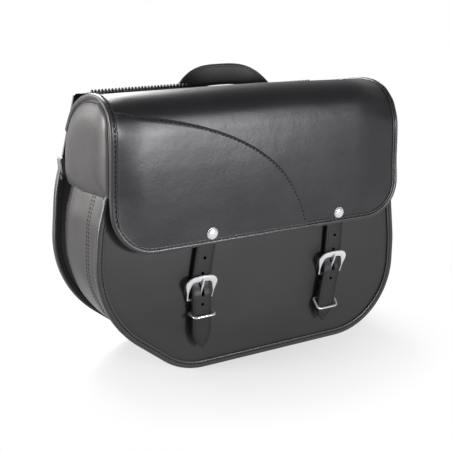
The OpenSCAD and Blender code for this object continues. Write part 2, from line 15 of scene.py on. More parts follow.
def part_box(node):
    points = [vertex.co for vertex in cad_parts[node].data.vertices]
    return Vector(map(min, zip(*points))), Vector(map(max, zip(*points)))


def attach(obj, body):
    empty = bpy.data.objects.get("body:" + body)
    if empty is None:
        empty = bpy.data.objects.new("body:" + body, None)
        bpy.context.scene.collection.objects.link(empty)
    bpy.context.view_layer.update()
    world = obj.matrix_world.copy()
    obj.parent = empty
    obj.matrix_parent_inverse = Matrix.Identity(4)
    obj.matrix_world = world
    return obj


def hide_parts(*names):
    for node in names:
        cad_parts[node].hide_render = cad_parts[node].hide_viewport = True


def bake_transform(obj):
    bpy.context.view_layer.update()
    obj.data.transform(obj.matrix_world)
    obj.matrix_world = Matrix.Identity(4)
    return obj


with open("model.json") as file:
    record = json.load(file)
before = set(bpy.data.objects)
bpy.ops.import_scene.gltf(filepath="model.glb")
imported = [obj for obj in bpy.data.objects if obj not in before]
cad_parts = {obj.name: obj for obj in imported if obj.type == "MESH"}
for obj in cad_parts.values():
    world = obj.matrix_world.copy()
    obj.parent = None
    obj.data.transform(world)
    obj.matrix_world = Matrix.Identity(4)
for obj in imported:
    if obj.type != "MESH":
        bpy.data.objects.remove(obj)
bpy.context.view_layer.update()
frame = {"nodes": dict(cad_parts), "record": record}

MM = 0.001
FLOOR_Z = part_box("front_binding")[0].z
BODY_NODES = frame["record"]["behaviour"]["bodies"]


# Coordinates --------------------------------------------------------------------------------------


def place(x, y, h):
    """A vertex from millimetres and a height above the underside."""
    return (x * MM, y * MM, FLOOR_Z + h * MM)


def node_box(node):
    """A CAD node's box in millimetres and heights: (low x, y, h), (high x, y, h)."""
    low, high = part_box(node)
    return (
        (low.x / MM, low.y / MM, (low.z - FLOOR_Z) / MM),
        (high.x / MM, high.y / MM, (high.z - FLOOR_Z) / MM),
    )


def smooth_step(t):
    t = np.clip(t, 0.0, 1.0)
    return t * t * (3 - 2 * t)


def unit(v):
    v = np.asarray(v, float)
    return v / np.linalg.norm(v)


# Layers of the walls, read from the frame.
BACK_REAR = node_box("back_panel")[1][1]
BACK_FRONT = node_box("back_panel")[0][1]
FRONT_FACE = node_box("front_panel")[0][1]
FRONT_REAR = node_box("front_panel")[1][1]
MOUTH = node_box("front_panel")[1][2]
LID_X = (node_box("lid_binding")[0][0] + node_box("lid_binding")[1][0]) / 2
LID_HALF = node_box("lid_binding")[1][0] - LID_X
LID_TOP = 302.0
FLAP_FOOT = node_box("lid_binding")[0][2]
LEATHER = 3.0
BINDING_TOP = node_box("back_binding")[1][2]
STRAP_X = 85.0
STRAP_HALF = 11.5
STRAP_T = 3.5
BAR_Y = FRONT_FACE - 4.2
BAR_H = 82.5
RIVET_H = 155.0

# Corners of the panels as (x, height, rounding radius), counter-clockwise, as in the CAD.
LOWER_CORNERS = [(-207.5, 80, 115), (-107.5, 0, 75), (179.5, 0, 83), (180.5, 110, 150)]
BACK_CORNERS = [(162.5, 290, 4), (-169.5, 290, 4), (-197.5, 190, 150)] + LOWER_CORNERS
FRONT_CORNERS = [(168, 264, 1), (-184, 264, 1), (-185.4, 206, 3), (-190, 201, 4), (-198.5, 171, 70)]
FRONT_CORNERS += LOWER_CORNERS + [(170, 196, 60)]

# Sideways lean of the straps, as in the CAD: side, then (height, shift).
DRIFT = {
    -1: [(28, -3), (92, -3), (110, -0.5), (135, 4), (155, 7.9)],
    1: [(27, -15), (42, -10), (62, -7.8), (92, -1.8), (105, 0.6), (135, 3), (155, 2.2)],
}
KEEPER_H = {-1: 67.5, 1: 54.0}
SNAP_H = {-1: 52.0, 1: 70.0}


def strap_c(side, h):
    """Middle of a strap along the bag at a height."""
    heights = [row[0] for row in DRIFT[side]]
    shifts = [row[1] for row in DRIFT[side]]
    around = [np.interp(h + d, heights, shifts) for d in (-8, -4, 0, 4, 8)]
    return side * STRAP_X + float(np.dot(around, (0.1, 0.22, 0.36, 0.22, 0.1)))


def buckle_c(side):
    return strap_c(side, BAR_H + 11.5)


def chape_c(side, h):
    """Middle of a chape: it follows the strap, and the buckle at the bar."""
    return strap_c(side, h) + (buckle_c(side) - strap_c(side, h)) * float(smooth_step((h - BAR_H + 20) / 12))



def rounded_loop(corners, inset=0.0, step=3.0):
    """Closed outline with rounded corners, moved inwards by inset, sampled about every step."""
    count = len(corners)
    flat = [np.array(c[:2], float) for c in corners]
    moved = []
    for i in range(count):
        a, p, b = flat[i - 1], flat[i], flat[(i + 1) % count]
        u, v = unit(a - p), unit(b - p)
        half = math.acos(np.clip(u @ v, -1, 1)) / 2
        side = 1 if (p - a)[0] * (b - p)[1] - (p - a)[1] * (b - p)[0] >= 0 else -1
        moved.append((p + side * unit(u + v) * inset / math.sin(half), max(corners[i][2] - side * inset, 0.5)))
    points = []
    for i in range(count):
        a, (p, r), b = moved[i - 1][0], moved[i], moved[(i + 1) % count][0]
        u, v = unit(a - p), unit(b - p)
        half = math.acos(np.clip(u @ v, -1, 1)) / 2
        centre = p + unit(u + v) * r / math.sin(half)
        start = p + u * r / math.tan(half) - centre
        end = p + v * r / math.tan(half) - centre
        a0 = math.atan2(start[1], start[0])
        sweep = (math.atan2(end[1], end[0]) - a0 + math.pi) % (2 * math.pi) - math.pi
        n = max(3, int(abs(sweep) * r / step) + 1)
        for k in range(n + 1):
            t = a0 + sweep * k / n
            points.append(centre + r * np.array([math.cos(t), math.sin(t)]))
    return np.array(points)


def resample(points, count=None, step=None, closed=False):
    """Even spacing along a polyline of any dimension."""
    points = np.asarray(points, float)
    if closed:
        points = np.vstack([points, points[:1]])
    keep = np.r_[True, np.linalg.norm(np.diff(points, axis=0), axis=1) > 1e-6]
    points = points[keep]
    s = np.r_[0, np.cumsum(np.linalg.norm(np.diff(points, axis=0), axis=1))]
    if count is None:
        count = max(2, int(round(s[-1] / step)) + 1)
    t = np.linspace(0, s[-1], count + 1)[:-1] if closed else np.linspace(0, s[-1], count)
    return np.stack([np.interp(t, s, points[:, k]) for k in range(points.shape[1])], 1)


def below(loop, top):
    """The open part of a closed (x, h) outline that lies under a height, from the left down and up the right."""
    n = len(loop)
    start = next(i for i in range(n) if loop[i - 1][1] > top >= loop[i][1])
    path = []
    a, b = loop[start - 1], loop[start]
    path.append(a + (b - a) * (a[1] - top) / (a[1] - b[1]))
    i = start
    while loop[i % n][1] <= top:
        path.append(loop[i % n])
        i += 1
    a, b = loop[(i - 1) % n], loop[i % n]
    path.append(a + (b - a) * (top - a[1]) / (b[1] - a[1]))
    return np.array(path)


def left_normals(path, closed=False):
    """Unit normals to the left of a 2-D path: inwards for a counter-clockwise outline."""
    if closed:
        t = np.roll(path, -1, 0) - np.roll(path, 1, 0)
    else:
        t = np.gradient(path, axis=0)
    t = t / np.linalg.norm(t, axis=1)[:, None]
    return np.stack([-t[:, 1], t[:, 0]], 1)


# Meshes -------------------------------------------------------------------------------------------


def add_mesh(name, verts, faces, material, sharp=40.0, smooth=True):
    mesh = bpy.data.meshes.new(name)
    mesh.from_pydata([tuple(v) for v in verts], [], [tuple(int(i) for i in f) for f in faces])
    mesh.validate()
    bm = bmesh.new()
    bm.from_mesh(mesh)
    bmesh.ops.recalc_face_normals(bm, faces=bm.faces)
    bm.to_mesh(mesh)
    bm.free()
    if smooth:
        mesh.polygons.foreach_set("use_smooth", [True] * len(mesh.polygons))
        mesh.set_sharp_from_angle(angle=math.radians(sharp))
    obj = bpy.data.objects.new(name, mesh)
    bpy.context.scene.collection.objects.link(obj)
    mesh.materials.append(material)
    return obj


def grid_faces(rows, cols, wrap_rows=False, wrap_cols=False):
    faces = []
    for i in range(rows if wrap_rows else rows - 1):
        for j in range(cols if wrap_cols else cols - 1):
            a, b = i % rows, (i + 1) % rows
            c, d = j % cols, (j + 1) % cols
            faces.append((a * cols + c, a * cols + d, b * cols + d, b * cols + c))
    return faces


def swept(name, sections, material, closed=False, caps=True, sharp=40.0):
    """Skin through sections, each a closed ring of the same number of points in metres."""
    rows, cols = len(sections), len(sections[0])
    verts = [p for ring in sections for p in ring]
    faces = grid_faces(rows, cols, wrap_rows=closed, wrap_cols=True)
    if caps and not closed:
        faces.append(tuple(range(cols)))
        faces.append(tuple((rows - 1) * cols + j for j in range(cols)))
    return add_mesh(name, verts, faces, material, sharp)


def edge_sweep(name, path, profile, material, closed=False, sharp=40.0):
    """Sweeps a profile of (inward distance, y) along an (x, h) outline."""
    normals = left_normals(path, closed)
    sections = []
    for (x, h), (nx, nh) in zip(path, normals):
        sections.append([place(x + nx * d, y, h + nh * d) for d, y in profile])
    return swept(name, sections, material, closed, sharp=sharp)


def tube(name, path, radius, material, sides=12, closed=False, up=(0, 0, 1)):
    """Round wire of the given radius, or one radius per point, along a 3-D path in millimetres."""
    path = np.asarray(path, float)
    radii = np.broadcast_to(np.asarray(radius, float), (len(path),))
    if closed:
        tangents = np.roll(path, -1, 0) - np.roll(path, 1, 0)
    else:
        tangents = np.gradient(path, axis=0)
    sections = []
    side = None
    for p, t, r in zip(path, tangents, radii):
        t = unit(t)
        if side is None:
            side = np.cross(t, up)
            if np.linalg.norm(side) < 0.1:
                side = np.cross(t, (1, 0, 0))
        side = unit(side - t * (side @ t))
        other = np.cross(t, side)
        ring = []
        for k in range(sides):
            a = 2 * math.pi * k / sides
            ring.append(place(*(p + r * (math.cos(a) * side + math.sin(a) * other))))
        sections.append(ring)
    return swept(name, sections, material, closed)


def ring_sheet(name, loop, front, back, material, rings=26, relief=None, sharp=50.0):
    """A closed leather panel between y front and y back, with concentric rings of vertices.

    relief(x, h, t) gives how far the front stands proud, with t 0 at the edge and 1 in the middle.
    """
    centre = loop.mean(0)
    count = len(loop)
    ts = [0.0, 0.004, 0.012, 0.03] + [0.05 + 0.93 * (k / (rings - 1)) for k in range(rings)]
    verts = []
    for t in ts:
        for x, h in centre + (loop - centre) * (1 - t):
            out = relief(x, h, t) if relief else 0.0
            verts.append(place(x, front - out, h))
    faces = grid_faces(len(ts), count, wrap_cols=True)
    verts.append(place(centre[0], front - (relief(*centre, 1.0) if relief else 0.0), centre[1]))
    hub = len(verts) - 1
    last = (len(ts) - 1) * count
    for j in range(count):
        faces.append((last + j, last + (j + 1) % count, hub))
    base = len(verts)
    for x, h in loop:
        verts.append(place(x, back, h))
    for j in range(count):
        faces.append((j, base + j, base + (j + 1) % count, (j + 1) % count))
    faces.append(tuple(base + j for j in range(count)))
    return add_mesh(name, verts, faces, material, sharp)


def extrude_x(name, outline, x0, x1, material, bevel=0.6):
    """A (y, h) outline extruded along x, with bevelled edges."""
    n = len(outline)
    verts = [place(x0, y, h) for y, h in outline] + [place(x1, y, h) for y, h in outline]
    faces = [tuple(range(n)), tuple(range(n, 2 * n))]
    faces += [(j, (j + 1) % n, n + (j + 1) % n, n + j) for j in range(n)]
    obj = add_mesh(name, verts, faces, material)
    add_bevel(obj, bevel)
    return obj


def lathe(name, profile, centre, axis, material, sides=40):
    """Turns a profile of (radius, distance along axis) about an axis through centre (x, y, h)."""
    axis = unit(axis)
    side = unit(np.cross(axis, (1.0, 0.0, 0.0) if abs(axis[0]) < 0.9 else (0.0, 0.0, 1.0)))
    other = np.cross(axis, side)
    sections = []
    for k in range(sides):
        a = 2 * math.pi * k / sides
        out = math.cos(a) * side + math.sin(a) * other
        sections.append([place(*(np.array(centre) + out * max(r, 0.01) + axis * z)) for r, z in profile])
    return swept(name, sections, material, closed=True, caps=False)


def add_bevel(obj, width, segments=2, angle=35):
    bevel = obj.modifiers.new("bevel", "BEVEL")
    bevel.width = width * MM
    bevel.segments = segments
    bevel.limit_method = "ANGLE"
    bevel.angle_limit = math.radians(angle)
    bevel.harden_normals = False


def apply_modifiers(obj):
    """Bakes a piece's modifiers into its mesh."""
    bpy.context.view_layer.update()
    graph = bpy.context.evaluated_depsgraph_get()
    mesh = bpy.data.meshes.new_from_object(obj.evaluated_get(graph))
    old = obj.data
    obj.modifiers.clear()
    obj.data = mesh
    bpy.data.meshes.remove(old)


def cut(obj, cutters):
    """Cuts closed cutter meshes out of a piece and removes the cutters."""
    for cutter in cutters:
        boolean = obj.modifiers.new("cut", "BOOLEAN")
        boolean.operation = "DIFFERENCE"
        boolean.solver = "EXACT"
        boolean.object = cutter
    apply_modifiers(obj)
    for cutter in cutters:
        bpy.data.objects.remove(cutter)
    obj.data.set_sharp_from_angle(angle=math.radians(40))


def peg(x, h, r, y0, y1):
    """A round cutter along y."""
    return lathe("cutter", [(0, y0), (r, y0), (r, y1), (0, y1)], (x, 0, h), (0, 1, 0), LEATHER_MAT, 20)


def stitches(name, points, normals, material, pitch=4.2, length=3.1, radius=0.42, slant=9.0):
    """A row of thread stitches along a 3-D path in millimetres, lying on a surface with the given normals."""
    points, normals = np.asarray(points, float), np.asarray(normals, float)
    s = np.r_[0, np.cumsum(np.linalg.norm(np.diff(points, axis=0), axis=1))]
    count = max(1, int(s[-1] / pitch))
    verts, faces = [], []
    sides = 6
    rings = [(-1.0, 0.25, -0.8), (-0.8, 0.8, -0.2), (-0.35, 1.0, 0.15), (0.35, 1.0, 0.15), (0.8, 0.8, -0.2), (1.0, 0.25, -0.8)]
    for k in range(count):
        mid = (k + 0.5) * s[-1] / count
        at = np.array([np.interp(mid, s, points[:, i]) for i in range(3)])
        ahead = np.array([np.interp(min(mid + 0.8, s[-1]), s, points[:, i]) for i in range(3)])
        behind = np.array([np.interp(max(mid - 0.8, 0), s, points[:, i]) for i in range(3)])
        normal = unit([np.interp(mid, s, normals[:, i]) for i in range(3)])
        along = unit(ahead - behind)
        across = unit(np.cross(normal, along))
        turn = math.radians(slant)
        along = math.cos(turn) * along + math.sin(turn) * across
        across = unit(np.cross(normal, along))
        base = len(verts)
        for step, width, lift in rings:
            for j in range(sides):
                a = 2 * math.pi * j / sides
                p = at + along * step * length / 2
                p = p + across * math.cos(a) * radius * width
                p = p + normal * (math.sin(a) * radius * width + lift * radius)
                verts.append(place(*p))
        for r in range(len(rings) - 1):
            for j in range(sides):
                a, b = base + r * sides + j, base + r * sides + (j + 1) % sides
                faces.append((a, b, b + sides, a + sides))
        faces.append(tuple(base + j for j in range(sides)))
        faces.append(tuple(base + (len(rings) - 1) * sides + j for j in range(sides)))
    return add_mesh(name, verts, faces, material, sharp=80)


def join(name, pieces):
    """Joins meshes into one object."""
    bm = bmesh.new()
    materials = []
    for piece in pieces:
        offset = len(bm.faces)
        bm.from_mesh(piece.data)
        bm.faces.ensure_lookup_table()
        slots = []
        for material in piece.data.materials:
            if material not in materials:
                materials.append(material)
            slots.append(materials.index(material))
        for face in bm.faces[offset:]:
            face.material_index = slots[face.material_index]
    mesh = bpy.data.meshes.new(name)
    bm.to_mesh(mesh)
    bm.free()
    for material in materials:
        mesh.materials.append(material)
    for piece in pieces:
        bpy.data.objects.remove(piece)
    obj = bpy.data.objects.new(name, mesh)
    bpy.context.scene.collection.objects.link(obj)
    mesh.set_sharp_from_angle(angle=math.radians(45))
    return obj


# Materials ----------------------------------------------------------------------------------------


def new_material(name):
    material = bpy.data.materials.new(name)
    material.use_nodes = True
    nodes, links = material.node_tree.nodes, material.node_tree.links
    shader = nodes["Principled BSDF"]
    coords = nodes.new("ShaderNodeTexCoord")
    return material, nodes, links, shader, coords.outputs["Object"]


def noise_node(nodes, links, coords, scale, detail=4.0, rough=0.55):
    node = nodes.new("ShaderNodeTexNoise")
    node.inputs["Scale"].default_value = scale
    node.inputs["Detail"].default_value = detail
    node.inputs["Roughness"].default_value = rough
    links.new(coords, node.inputs["Vector"])
    return node.outputs["Fac"]


def ramp(nodes, links, value, low, high, out_low, out_high):
    node = nodes.new("ShaderNodeMapRange")
    node.inputs["From Min"].default_value = low
    node.inputs["From Max"].default_value = high
    node.inputs["To Min"].default_value = out_low
    node.inputs["To Max"].default_value = out_high
    links.new(value, node.inputs["Value"])
    return node.outputs["Result"]


def bump(nodes, links, height, strength, distance, below_normal=None):
    node = nodes.new("ShaderNodeBump")
    node.inputs["Strength"].default_value = strength
    node.inputs["Distance"].default_value = distance
    links.new(height, node.inputs["Height"])
    if below_normal is not None:
        links.new(below_normal, node.inputs["Normal"])
    return node.outputs["Normal"]


def mixed_colour(nodes, links, factor, dark, light):
    node = nodes.new("ShaderNodeMix")
    node.data_type = "RGBA"
    node.inputs["A"].default_value = (*dark, 1)
    node.inputs["B"].default_value = (*light, 1)
    links.new(factor, node.inputs["Factor"])
    return node.outputs["Result"]


def leather(name, colour, roughness=0.4, specular=0.5, grain=0.12, wear=0.5, mottle=0.05):
    """Smooth dyed leather: fine pebble grain, faint creases, uneven gloss and slightly paler worn edges."""
    material, nodes, links, shader, coords = new_material(name)
    pebble = nodes.new("ShaderNodeTexVoronoi")
    pebble.inputs["Scale"].default_value = 1150.0
    links.new(coords, pebble.inputs["Vector"])
    fine = noise_node(nodes, links, coords, 420.0, 5.0)
    broad = noise_node(nodes, links, coords, 14.0, 3.0)
    cloudy = noise_node(nodes, links, coords, 55.0, 5.0, 0.6)
    geometry = nodes.new("ShaderNodeNewGeometry")
    edge = ramp(nodes, links, geometry.outputs["Pointiness"], 0.52, 0.6, 0.0, wear)
    dark = tuple(c * 0.88 for c in colour)
    light = tuple(min(1.0, c * 1.14 + 0.002) for c in colour)
    worn = tuple(min(1.0, c * 2.2 + 0.03) for c in colour)
    base = mixed_colour(nodes, links, cloudy, dark, light)
    blend = nodes.new("ShaderNodeMix")
    blend.data_type = "RGBA"
    blend.inputs["B"].default_value = (*worn, 1)
    links.new(edge, blend.inputs["Factor"])
    links.new(base, blend.inputs["A"])
    links.new(blend.outputs["Result"], shader.inputs["Base Color"])
    links.new(ramp(nodes, links, broad, 0.3, 0.7, roughness - 0.035, roughness + 0.035), shader.inputs["Roughness"])
    shader.inputs["Specular IOR Level"].default_value = specular
    shader.inputs["Sheen Weight"].default_value = 0.06
    shader.inputs["Sheen Roughness"].default_value = 0.5
    first = bump(nodes, links, pebble.outputs["Distance"], grain, 0.00025)
    second = bump(nodes, links, fine, grain * 0.8, 0.0004, first)
    third = bump(nodes, links, cloudy, mottle, 0.0012, second)
    links.new(third, shader.inputs["Normal"])
    return material


def thread(name, colour):
    """Twisted polyester thread."""
    material, nodes, links, shader, coords = new_material(name)
    twist = nodes.new("ShaderNodeTexWave")
    twist.inputs["Scale"].default_value = 700.0
    twist.inputs["Distortion"].default_value = 1.0
    links.new(coords, twist.inputs["Vector"])
    dark = tuple(c * 0.6 for c in colour)
    links.new(mixed_colour(nodes, links, twist.outputs["Fac"], dark, colour), shader.inputs["Base Color"])
    shader.inputs["Roughness"].default_value = 0.5
    links.new(bump(nodes, links, twist.outputs["Fac"], 0.4, 0.0003), shader.inputs["Normal"])
    return material


def woven(name, colour, scale, roughness=0.85):
    """Plain weave cloth: two crossed sets of threads."""
    material, nodes, links, shader, coords = new_material(name)
    waves = []
    for direction in ("X", "Z"):
        wave = nodes.new("ShaderNodeTexWave")
        wave.bands_direction = direction
        wave.inputs["Scale"].default_value = scale
        wave.inputs["Distortion"].default_value = 0.6
        wave.inputs["Detail"].default_value = 2.0
        links.new(coords, wave.inputs["Vector"])
        waves.append(wave.outputs["Fac"])
    weave = nodes.new("ShaderNodeMath")
    weave.operation = "MULTIPLY"
    links.new(waves[0], weave.inputs[0])
    links.new(waves[1], weave.inputs[1])
    dark = tuple(c * 0.55 for c in colour)
    links.new(mixed_colour(nodes, links, weave.outputs["Value"], dark, colour), shader.inputs["Base Color"])
    shader.inputs["Roughness"].default_value = roughness
    shader.inputs["Sheen Weight"].default_value = 0.3
    links.new(bump(nodes, links, weave.outputs["Value"], 0.5, 0.0003), shader.inputs["Normal"])
    return material


def metal(name, colour, roughness, brushed=0.0, metallic=1.0):
    """Plated or painted metal with faint smudges, fine scratches and, if asked, brushing."""
    material, nodes, links, shader, coords = new_material(name)
    smudge = noise_node(nodes, links, coords, 60.0, 4.0)
    links.new(ramp(nodes, links, smudge, 0.35, 0.7, roughness * 0.75, roughness * 1.4), shader.inputs["Roughness"])
    tint = mixed_colour(nodes, links, smudge, tuple(c * 0.93 for c in colour), colour)
    links.new(tint, shader.inputs["Base Color"])
    shader.inputs["Metallic"].default_value = metallic
    fine = noise_node(nodes, links, coords, 900.0, 3.0)
    links.new(bump(nodes, links, fine, 0.02 + brushed, 0.0002), shader.inputs["Normal"])
    return material


def plastic(name, colour, roughness):
    material, nodes, links, shader, coords = new_material(name)
    fine = noise_node(nodes, links, coords, 500.0, 3.0)
    links.new(mixed_colour(nodes, links, fine, tuple(c * 0.85 for c in colour), colour), shader.inputs["Base Color"])
    links.new(ramp(nodes, links, fine, 0.3, 0.7, roughness * 0.85, roughness * 1.15), shader.inputs["Roughness"])
    links.new(bump(nodes, links, fine, 0.06, 0.0002), shader.inputs["Normal"])
    return material


LEATHER_MAT = leather("leather_black", (0.012, 0.012, 0.012), roughness=0.44, mottle=0.08)
FLAP_MAT = leather("leather_flap", (0.015, 0.0145, 0.017), roughness=0.34, mottle=0.2)
OVERLAY_MAT = leather("leather_overlay", (0.015, 0.0145, 0.017), roughness=0.34, mottle=0.2)
# The end caps are the body's black leather; their paler base colour is painted light from the lamps on the left.
CAP_PAINTED_LIGHT_MAT = leather("leather_cap_painted_light", (0.034, 0.032, 0.032), roughness=0.40)
# The gusset is the body's black leather; its paler base colour is painted light from the lamps on the left, a little
# less than on the end caps.
GUSSET_PAINTED_LIGHT_MAT = leather("leather_gusset_painted_light", (0.026, 0.0245, 0.0245), roughness=0.42)
EDGE_MAT = leather("leather_edge", (0.026, 0.026, 0.027), roughness=0.34)
STRAP_MAT = leather("leather_strap", (0.010, 0.010, 0.0105), roughness=0.46, specular=0.36, grain=0.16)
GREY_MAT = leather("leather_grey", (0.10, 0.10, 0.104), roughness=0.5)
THREAD_MAT = thread("thread_black", (0.006, 0.006, 0.007))
LINING_MAT = woven("cloth_lining", (0.06, 0.06, 0.066), 260.0)
TAPE_MAT = woven("cloth_tape", (0.02, 0.02, 0.02), 500.0)
CHROME_MAT = metal("chrome", (0.94, 0.945, 0.955), 0.2, metallic=0.66)
STEEL_MAT = metal("steel", (0.62, 0.62, 0.64), 0.3, brushed=0.08)
RIVET_MAT = metal("rivet_dark", (0.16, 0.16, 0.165), 0.3)
PLATE_MAT = metal("powder_coat", (0.025, 0.025, 0.027), 0.45, brushed=0.12, metallic=0.0)
ZIP_MAT = plastic("zip_plastic", (0.012, 0.012, 0.013), 0.32)
BOARD_MAT = plastic("board", (0.05, 0.05, 0.05), 0.7)


def ripple(x, h, size, seed, amount):
    """Slow unevenness of hand-worked leather, in millimetres."""
    return amount * noise.noise(Vector((x / size, h / size, seed)))


def finish_piece(obj, body, slot, *nodes):
    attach(obj, body)
    if nodes:
        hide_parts(*nodes)
    return obj


# Body panels --------------------------------------------------------------------------------------

front_loop = resample(rounded_loop(FRONT_CORNERS), step=3.0, closed=True)
back_loop = resample(rounded_loop(BACK_CORNERS), step=3.0, closed=True)
front_path = resample(below(front_loop, MOUTH - 9), step=3.0)
back_path = resample(below(back_loop, BINDING_TOP), step=3.0)


def clipped_loop(corners, inset, top):
    """Closed outline cut off straight at a height, evenly sampled."""
    path = below(rounded_loop(corners, inset), top)
    return resample(path, step=3.0, closed=True)


def front_relief(x, h, t):
    crown = 1.1 * smooth_step(t / 0.35) - 0.5 * (1 - smooth_step(t / 0.05))
    return crown + ripple(x, h, 90.0, 3.1, 0.5) * smooth_step(t / 0.2)


front_panel = ring_sheet(
    "front_leather", clipped_loop(FRONT_CORNERS, 2.4, MOUTH), FRONT_FACE + 0.4, FRONT_REAR, LEATHER_MAT,
    relief=front_relief,
)
cut(front_panel, [peg(strap_c(s, SNAP_H[s]), SNAP_H[s], 1.6, FRONT_FACE - 8, FRONT_REAR + 8) for s in (-1, 1)])
finish_piece(front_panel, "bag", "leather", "front_panel")


def rear_sag(x, h=290.0):
    """How far the top of the back wall has sunk at x."""
    return 6.0 * float(smooth_step((x + 40.0) / 50.0)) * float(smooth_step((h - 235.0) / 50.0))


bolt_low, bolt_high = node_box("grommets")
BOLT_X = (bolt_high[0] - bolt_low[0]) / 2 - 8.25
BOLT_MID = (bolt_high[2] + bolt_low[2]) / 2
BOLT_Z = (bolt_high[2] - bolt_low[2]) / 2 - 8.25
back_outline = [(162.5, 290, 4), (-172, 293, 4)] + BACK_CORNERS[2:]
back_outline = resample(rounded_loop(back_outline, 2.4), step=3.0, closed=True)
back_panel = ring_sheet(
    "back_leather", np.array([(x, h - rear_sag(x, h)) for x, h in back_outline]),
    BACK_FRONT, BACK_REAR, LEATHER_MAT,
)
cut(
    back_panel,
    [peg(sx * BOLT_X, BOLT_MID + sz * BOLT_Z, 5.9, BACK_FRONT - 6, BACK_REAR + 6) for sx in (-1, 1) for sz in (-1, 1)],
)
finish_piece(back_panel, "bag", "leather", "back_panel")


def folded_profile(front, rear, front_lip, rear_lip, thick=1.4):
    """Closed (inward distance, y) profile of a strip folded round an edge lying between y front and y rear."""
    f, r = front - thick, rear + thick
    return [
        (front_lip, front - 0.05), (front_lip + 0.05, f + 0.55), (front_lip - 0.45, f + 0.12), (front_lip - 1.3, f),
        (front_lip - 2.0, f + 0.05), (front_lip - 2.4, f + 0.5), (front_lip - 2.9, f + 0.5), (front_lip - 3.3, f + 0.02),
        (2.4, f - 0.12), (1.1, f + 0.1), (0.3, f + 0.8), (-0.05, f + 1.9),
        (0.0, (f + r) / 2), (-0.05, r - 1.9), (0.3, r - 0.8), (1.1, r - 0.1), (2.4, r + 0.1),
        (rear_lip - 3.3, r - 0.02), (rear_lip - 2.9, r - 0.5), (rear_lip - 2.4, r - 0.5), (rear_lip - 2.0, r - 0.05),
        (rear_lip - 1.3, r), (rear_lip - 0.45, r - 0.12), (rear_lip + 0.05, r - 0.55), (rear_lip, rear + 0.05),
        (2.2, rear), (2.2, front),
    ]


def stitch_outline(path, inset, y, facing):
    """Points and normals of a stitch row on an (x, h) outline, at an inward distance and a y."""
    normals = left_normals(path)
    points = [(x + nx * inset, y, h + nh * inset) for (x, h), (nx, nh) in zip(path, normals)]
    return points, [(0, facing, 0)] * len(points)


front_binding = edge_sweep(
    "front_binding_leather", front_path, folded_profile(FRONT_FACE - 0.1, FRONT_REAR + 2.8, 8.0, 6.8), EDGE_MAT
)
finish_piece(front_binding, "bag", "edge_leather", "front_binding")
row = stitches(
    "front_binding_stitches", *stitch_outline(front_path, 5.35, FRONT_FACE - 1.25, -1), THREAD_MAT, radius=0.4
)
finish_piece(row, "bag", "edge_leather")

back_binding = edge_sweep(
    "back_binding_leather", back_path, folded_profile(BACK_FRONT - 2.8, BACK_REAR + 0.1, 6.8, 8.0), EDGE_MAT
)
finish_piece(back_binding, "bag", "edge_leather", "back_binding")
row = stitches(
    "back_binding_stitches", *stitch_outline(back_path, 5.35, BACK_REAR + 1.25, 1), THREAD_MAT, radius=0.4
)
finish_piece(row, "bag", "edge_leather")

# The gusset: pinched at both flanges and bulging between them.
GUSSET_FRONT = FRONT_REAR + 0.2
GUSSET_REAR = BACK_FRONT - 0.2
gusset_outer = [
    (2.4, GUSSET_FRONT), (5.5, GUSSET_FRONT + 0.1), (8.2, GUSSET_FRONT + 0.6), (9.4, GUSSET_FRONT + 2.4),
    (9.2, GUSSET_FRONT + 4.0), (7.6, GUSSET_FRONT + 6.5), (6.0, GUSSET_FRONT + 11), (4.9, GUSSET_FRONT + 20),
    (4.3, GUSSET_FRONT + 34), (4.1, GUSSET_FRONT + 52), (4.4, GUSSET_REAR - 40), (5.6, GUSSET_REAR - 27),
    (8.0, GUSSET_REAR - 18), (11.2, GUSSET_REAR - 12.0), (13.6, GUSSET_REAR - 7.5), (13.8, GUSSET_REAR - 4.2),
    (11.0, GUSSET_REAR - 1.8), (6.5, GUSSET_REAR - 0.5), (2.4, GUSSET_REAR),
]
gusset_profile = resample(gusset_outer, step=2.2)
GUSSET_T = 2.2
inner = gusset_profile + left_normals(gusset_profile) * -GUSSET_T
if inner[len(inner) // 2][0] < gusset_profile[len(inner) // 2][0]:
    inner = gusset_profile + left_normals(gusset_profile) * GUSSET_T
gusset_path = resample(below(front_loop, MOUTH), step=4.0)
gusset_normals = left_normals(gusset_path)


def gusset_point(x, h, nx, nh, d, y, k):
    soft = 1.6 * noise.noise(Vector((k / 11.0, y / 45.0, 2.0))) * smooth_step((y - GUSSET_FRONT - 6) / 20) * smooth_step((GUSSET_REAR - 14 - y) / 20)
    return place(x + nx * (d + soft), y, h + nh * (d + soft))


sections = []
for k, ((x, h), (nx, nh)) in enumerate(zip(gusset_path, gusset_normals)):
    ring = [gusset_point(x, h, nx, nh, d, y, k) for d, y in gusset_profile]
    ring += [gusset_point(x, h, nx, nh, d, y, k) for d, y in inner[::-1]]
    sections.append(ring)
# The gusset's paler base colour is painted light from the left.
gusset = swept("gusset_leather", sections, GUSSET_PAINTED_LIGHT_MAT, sharp=60)
finish_piece(gusset, "bag", "leather", "gusset")
rows = []
for y in (-93.0, -88.0, -30.0):
    depth = float(np.interp(y, gusset_profile[:, 1], gusset_profile[:, 0]))
    points, normals = [], []
    for k, ((x, h), (nx, nh)) in enumerate(zip(gusset_path, gusset_normals)):
        points.append(np.array(gusset_point(x, h, nx, nh, depth - 0.1, y, k)) / MM + np.array([0, 0, -FLOOR_Z / MM]))
        normals.append((-nx, 0, -nh))
    rows.append(stitches(f"gusset_row{len(rows)}", points, normals, THREAD_MAT, radius=0.4))
finish_piece(join("gusset_stitches", rows), "bag", "leather")

# Folded strip over the rim of the front panel and the gusset.
rim_front = clipped_loop(FRONT_CORNERS, 0.6, MOUTH + 1.4)


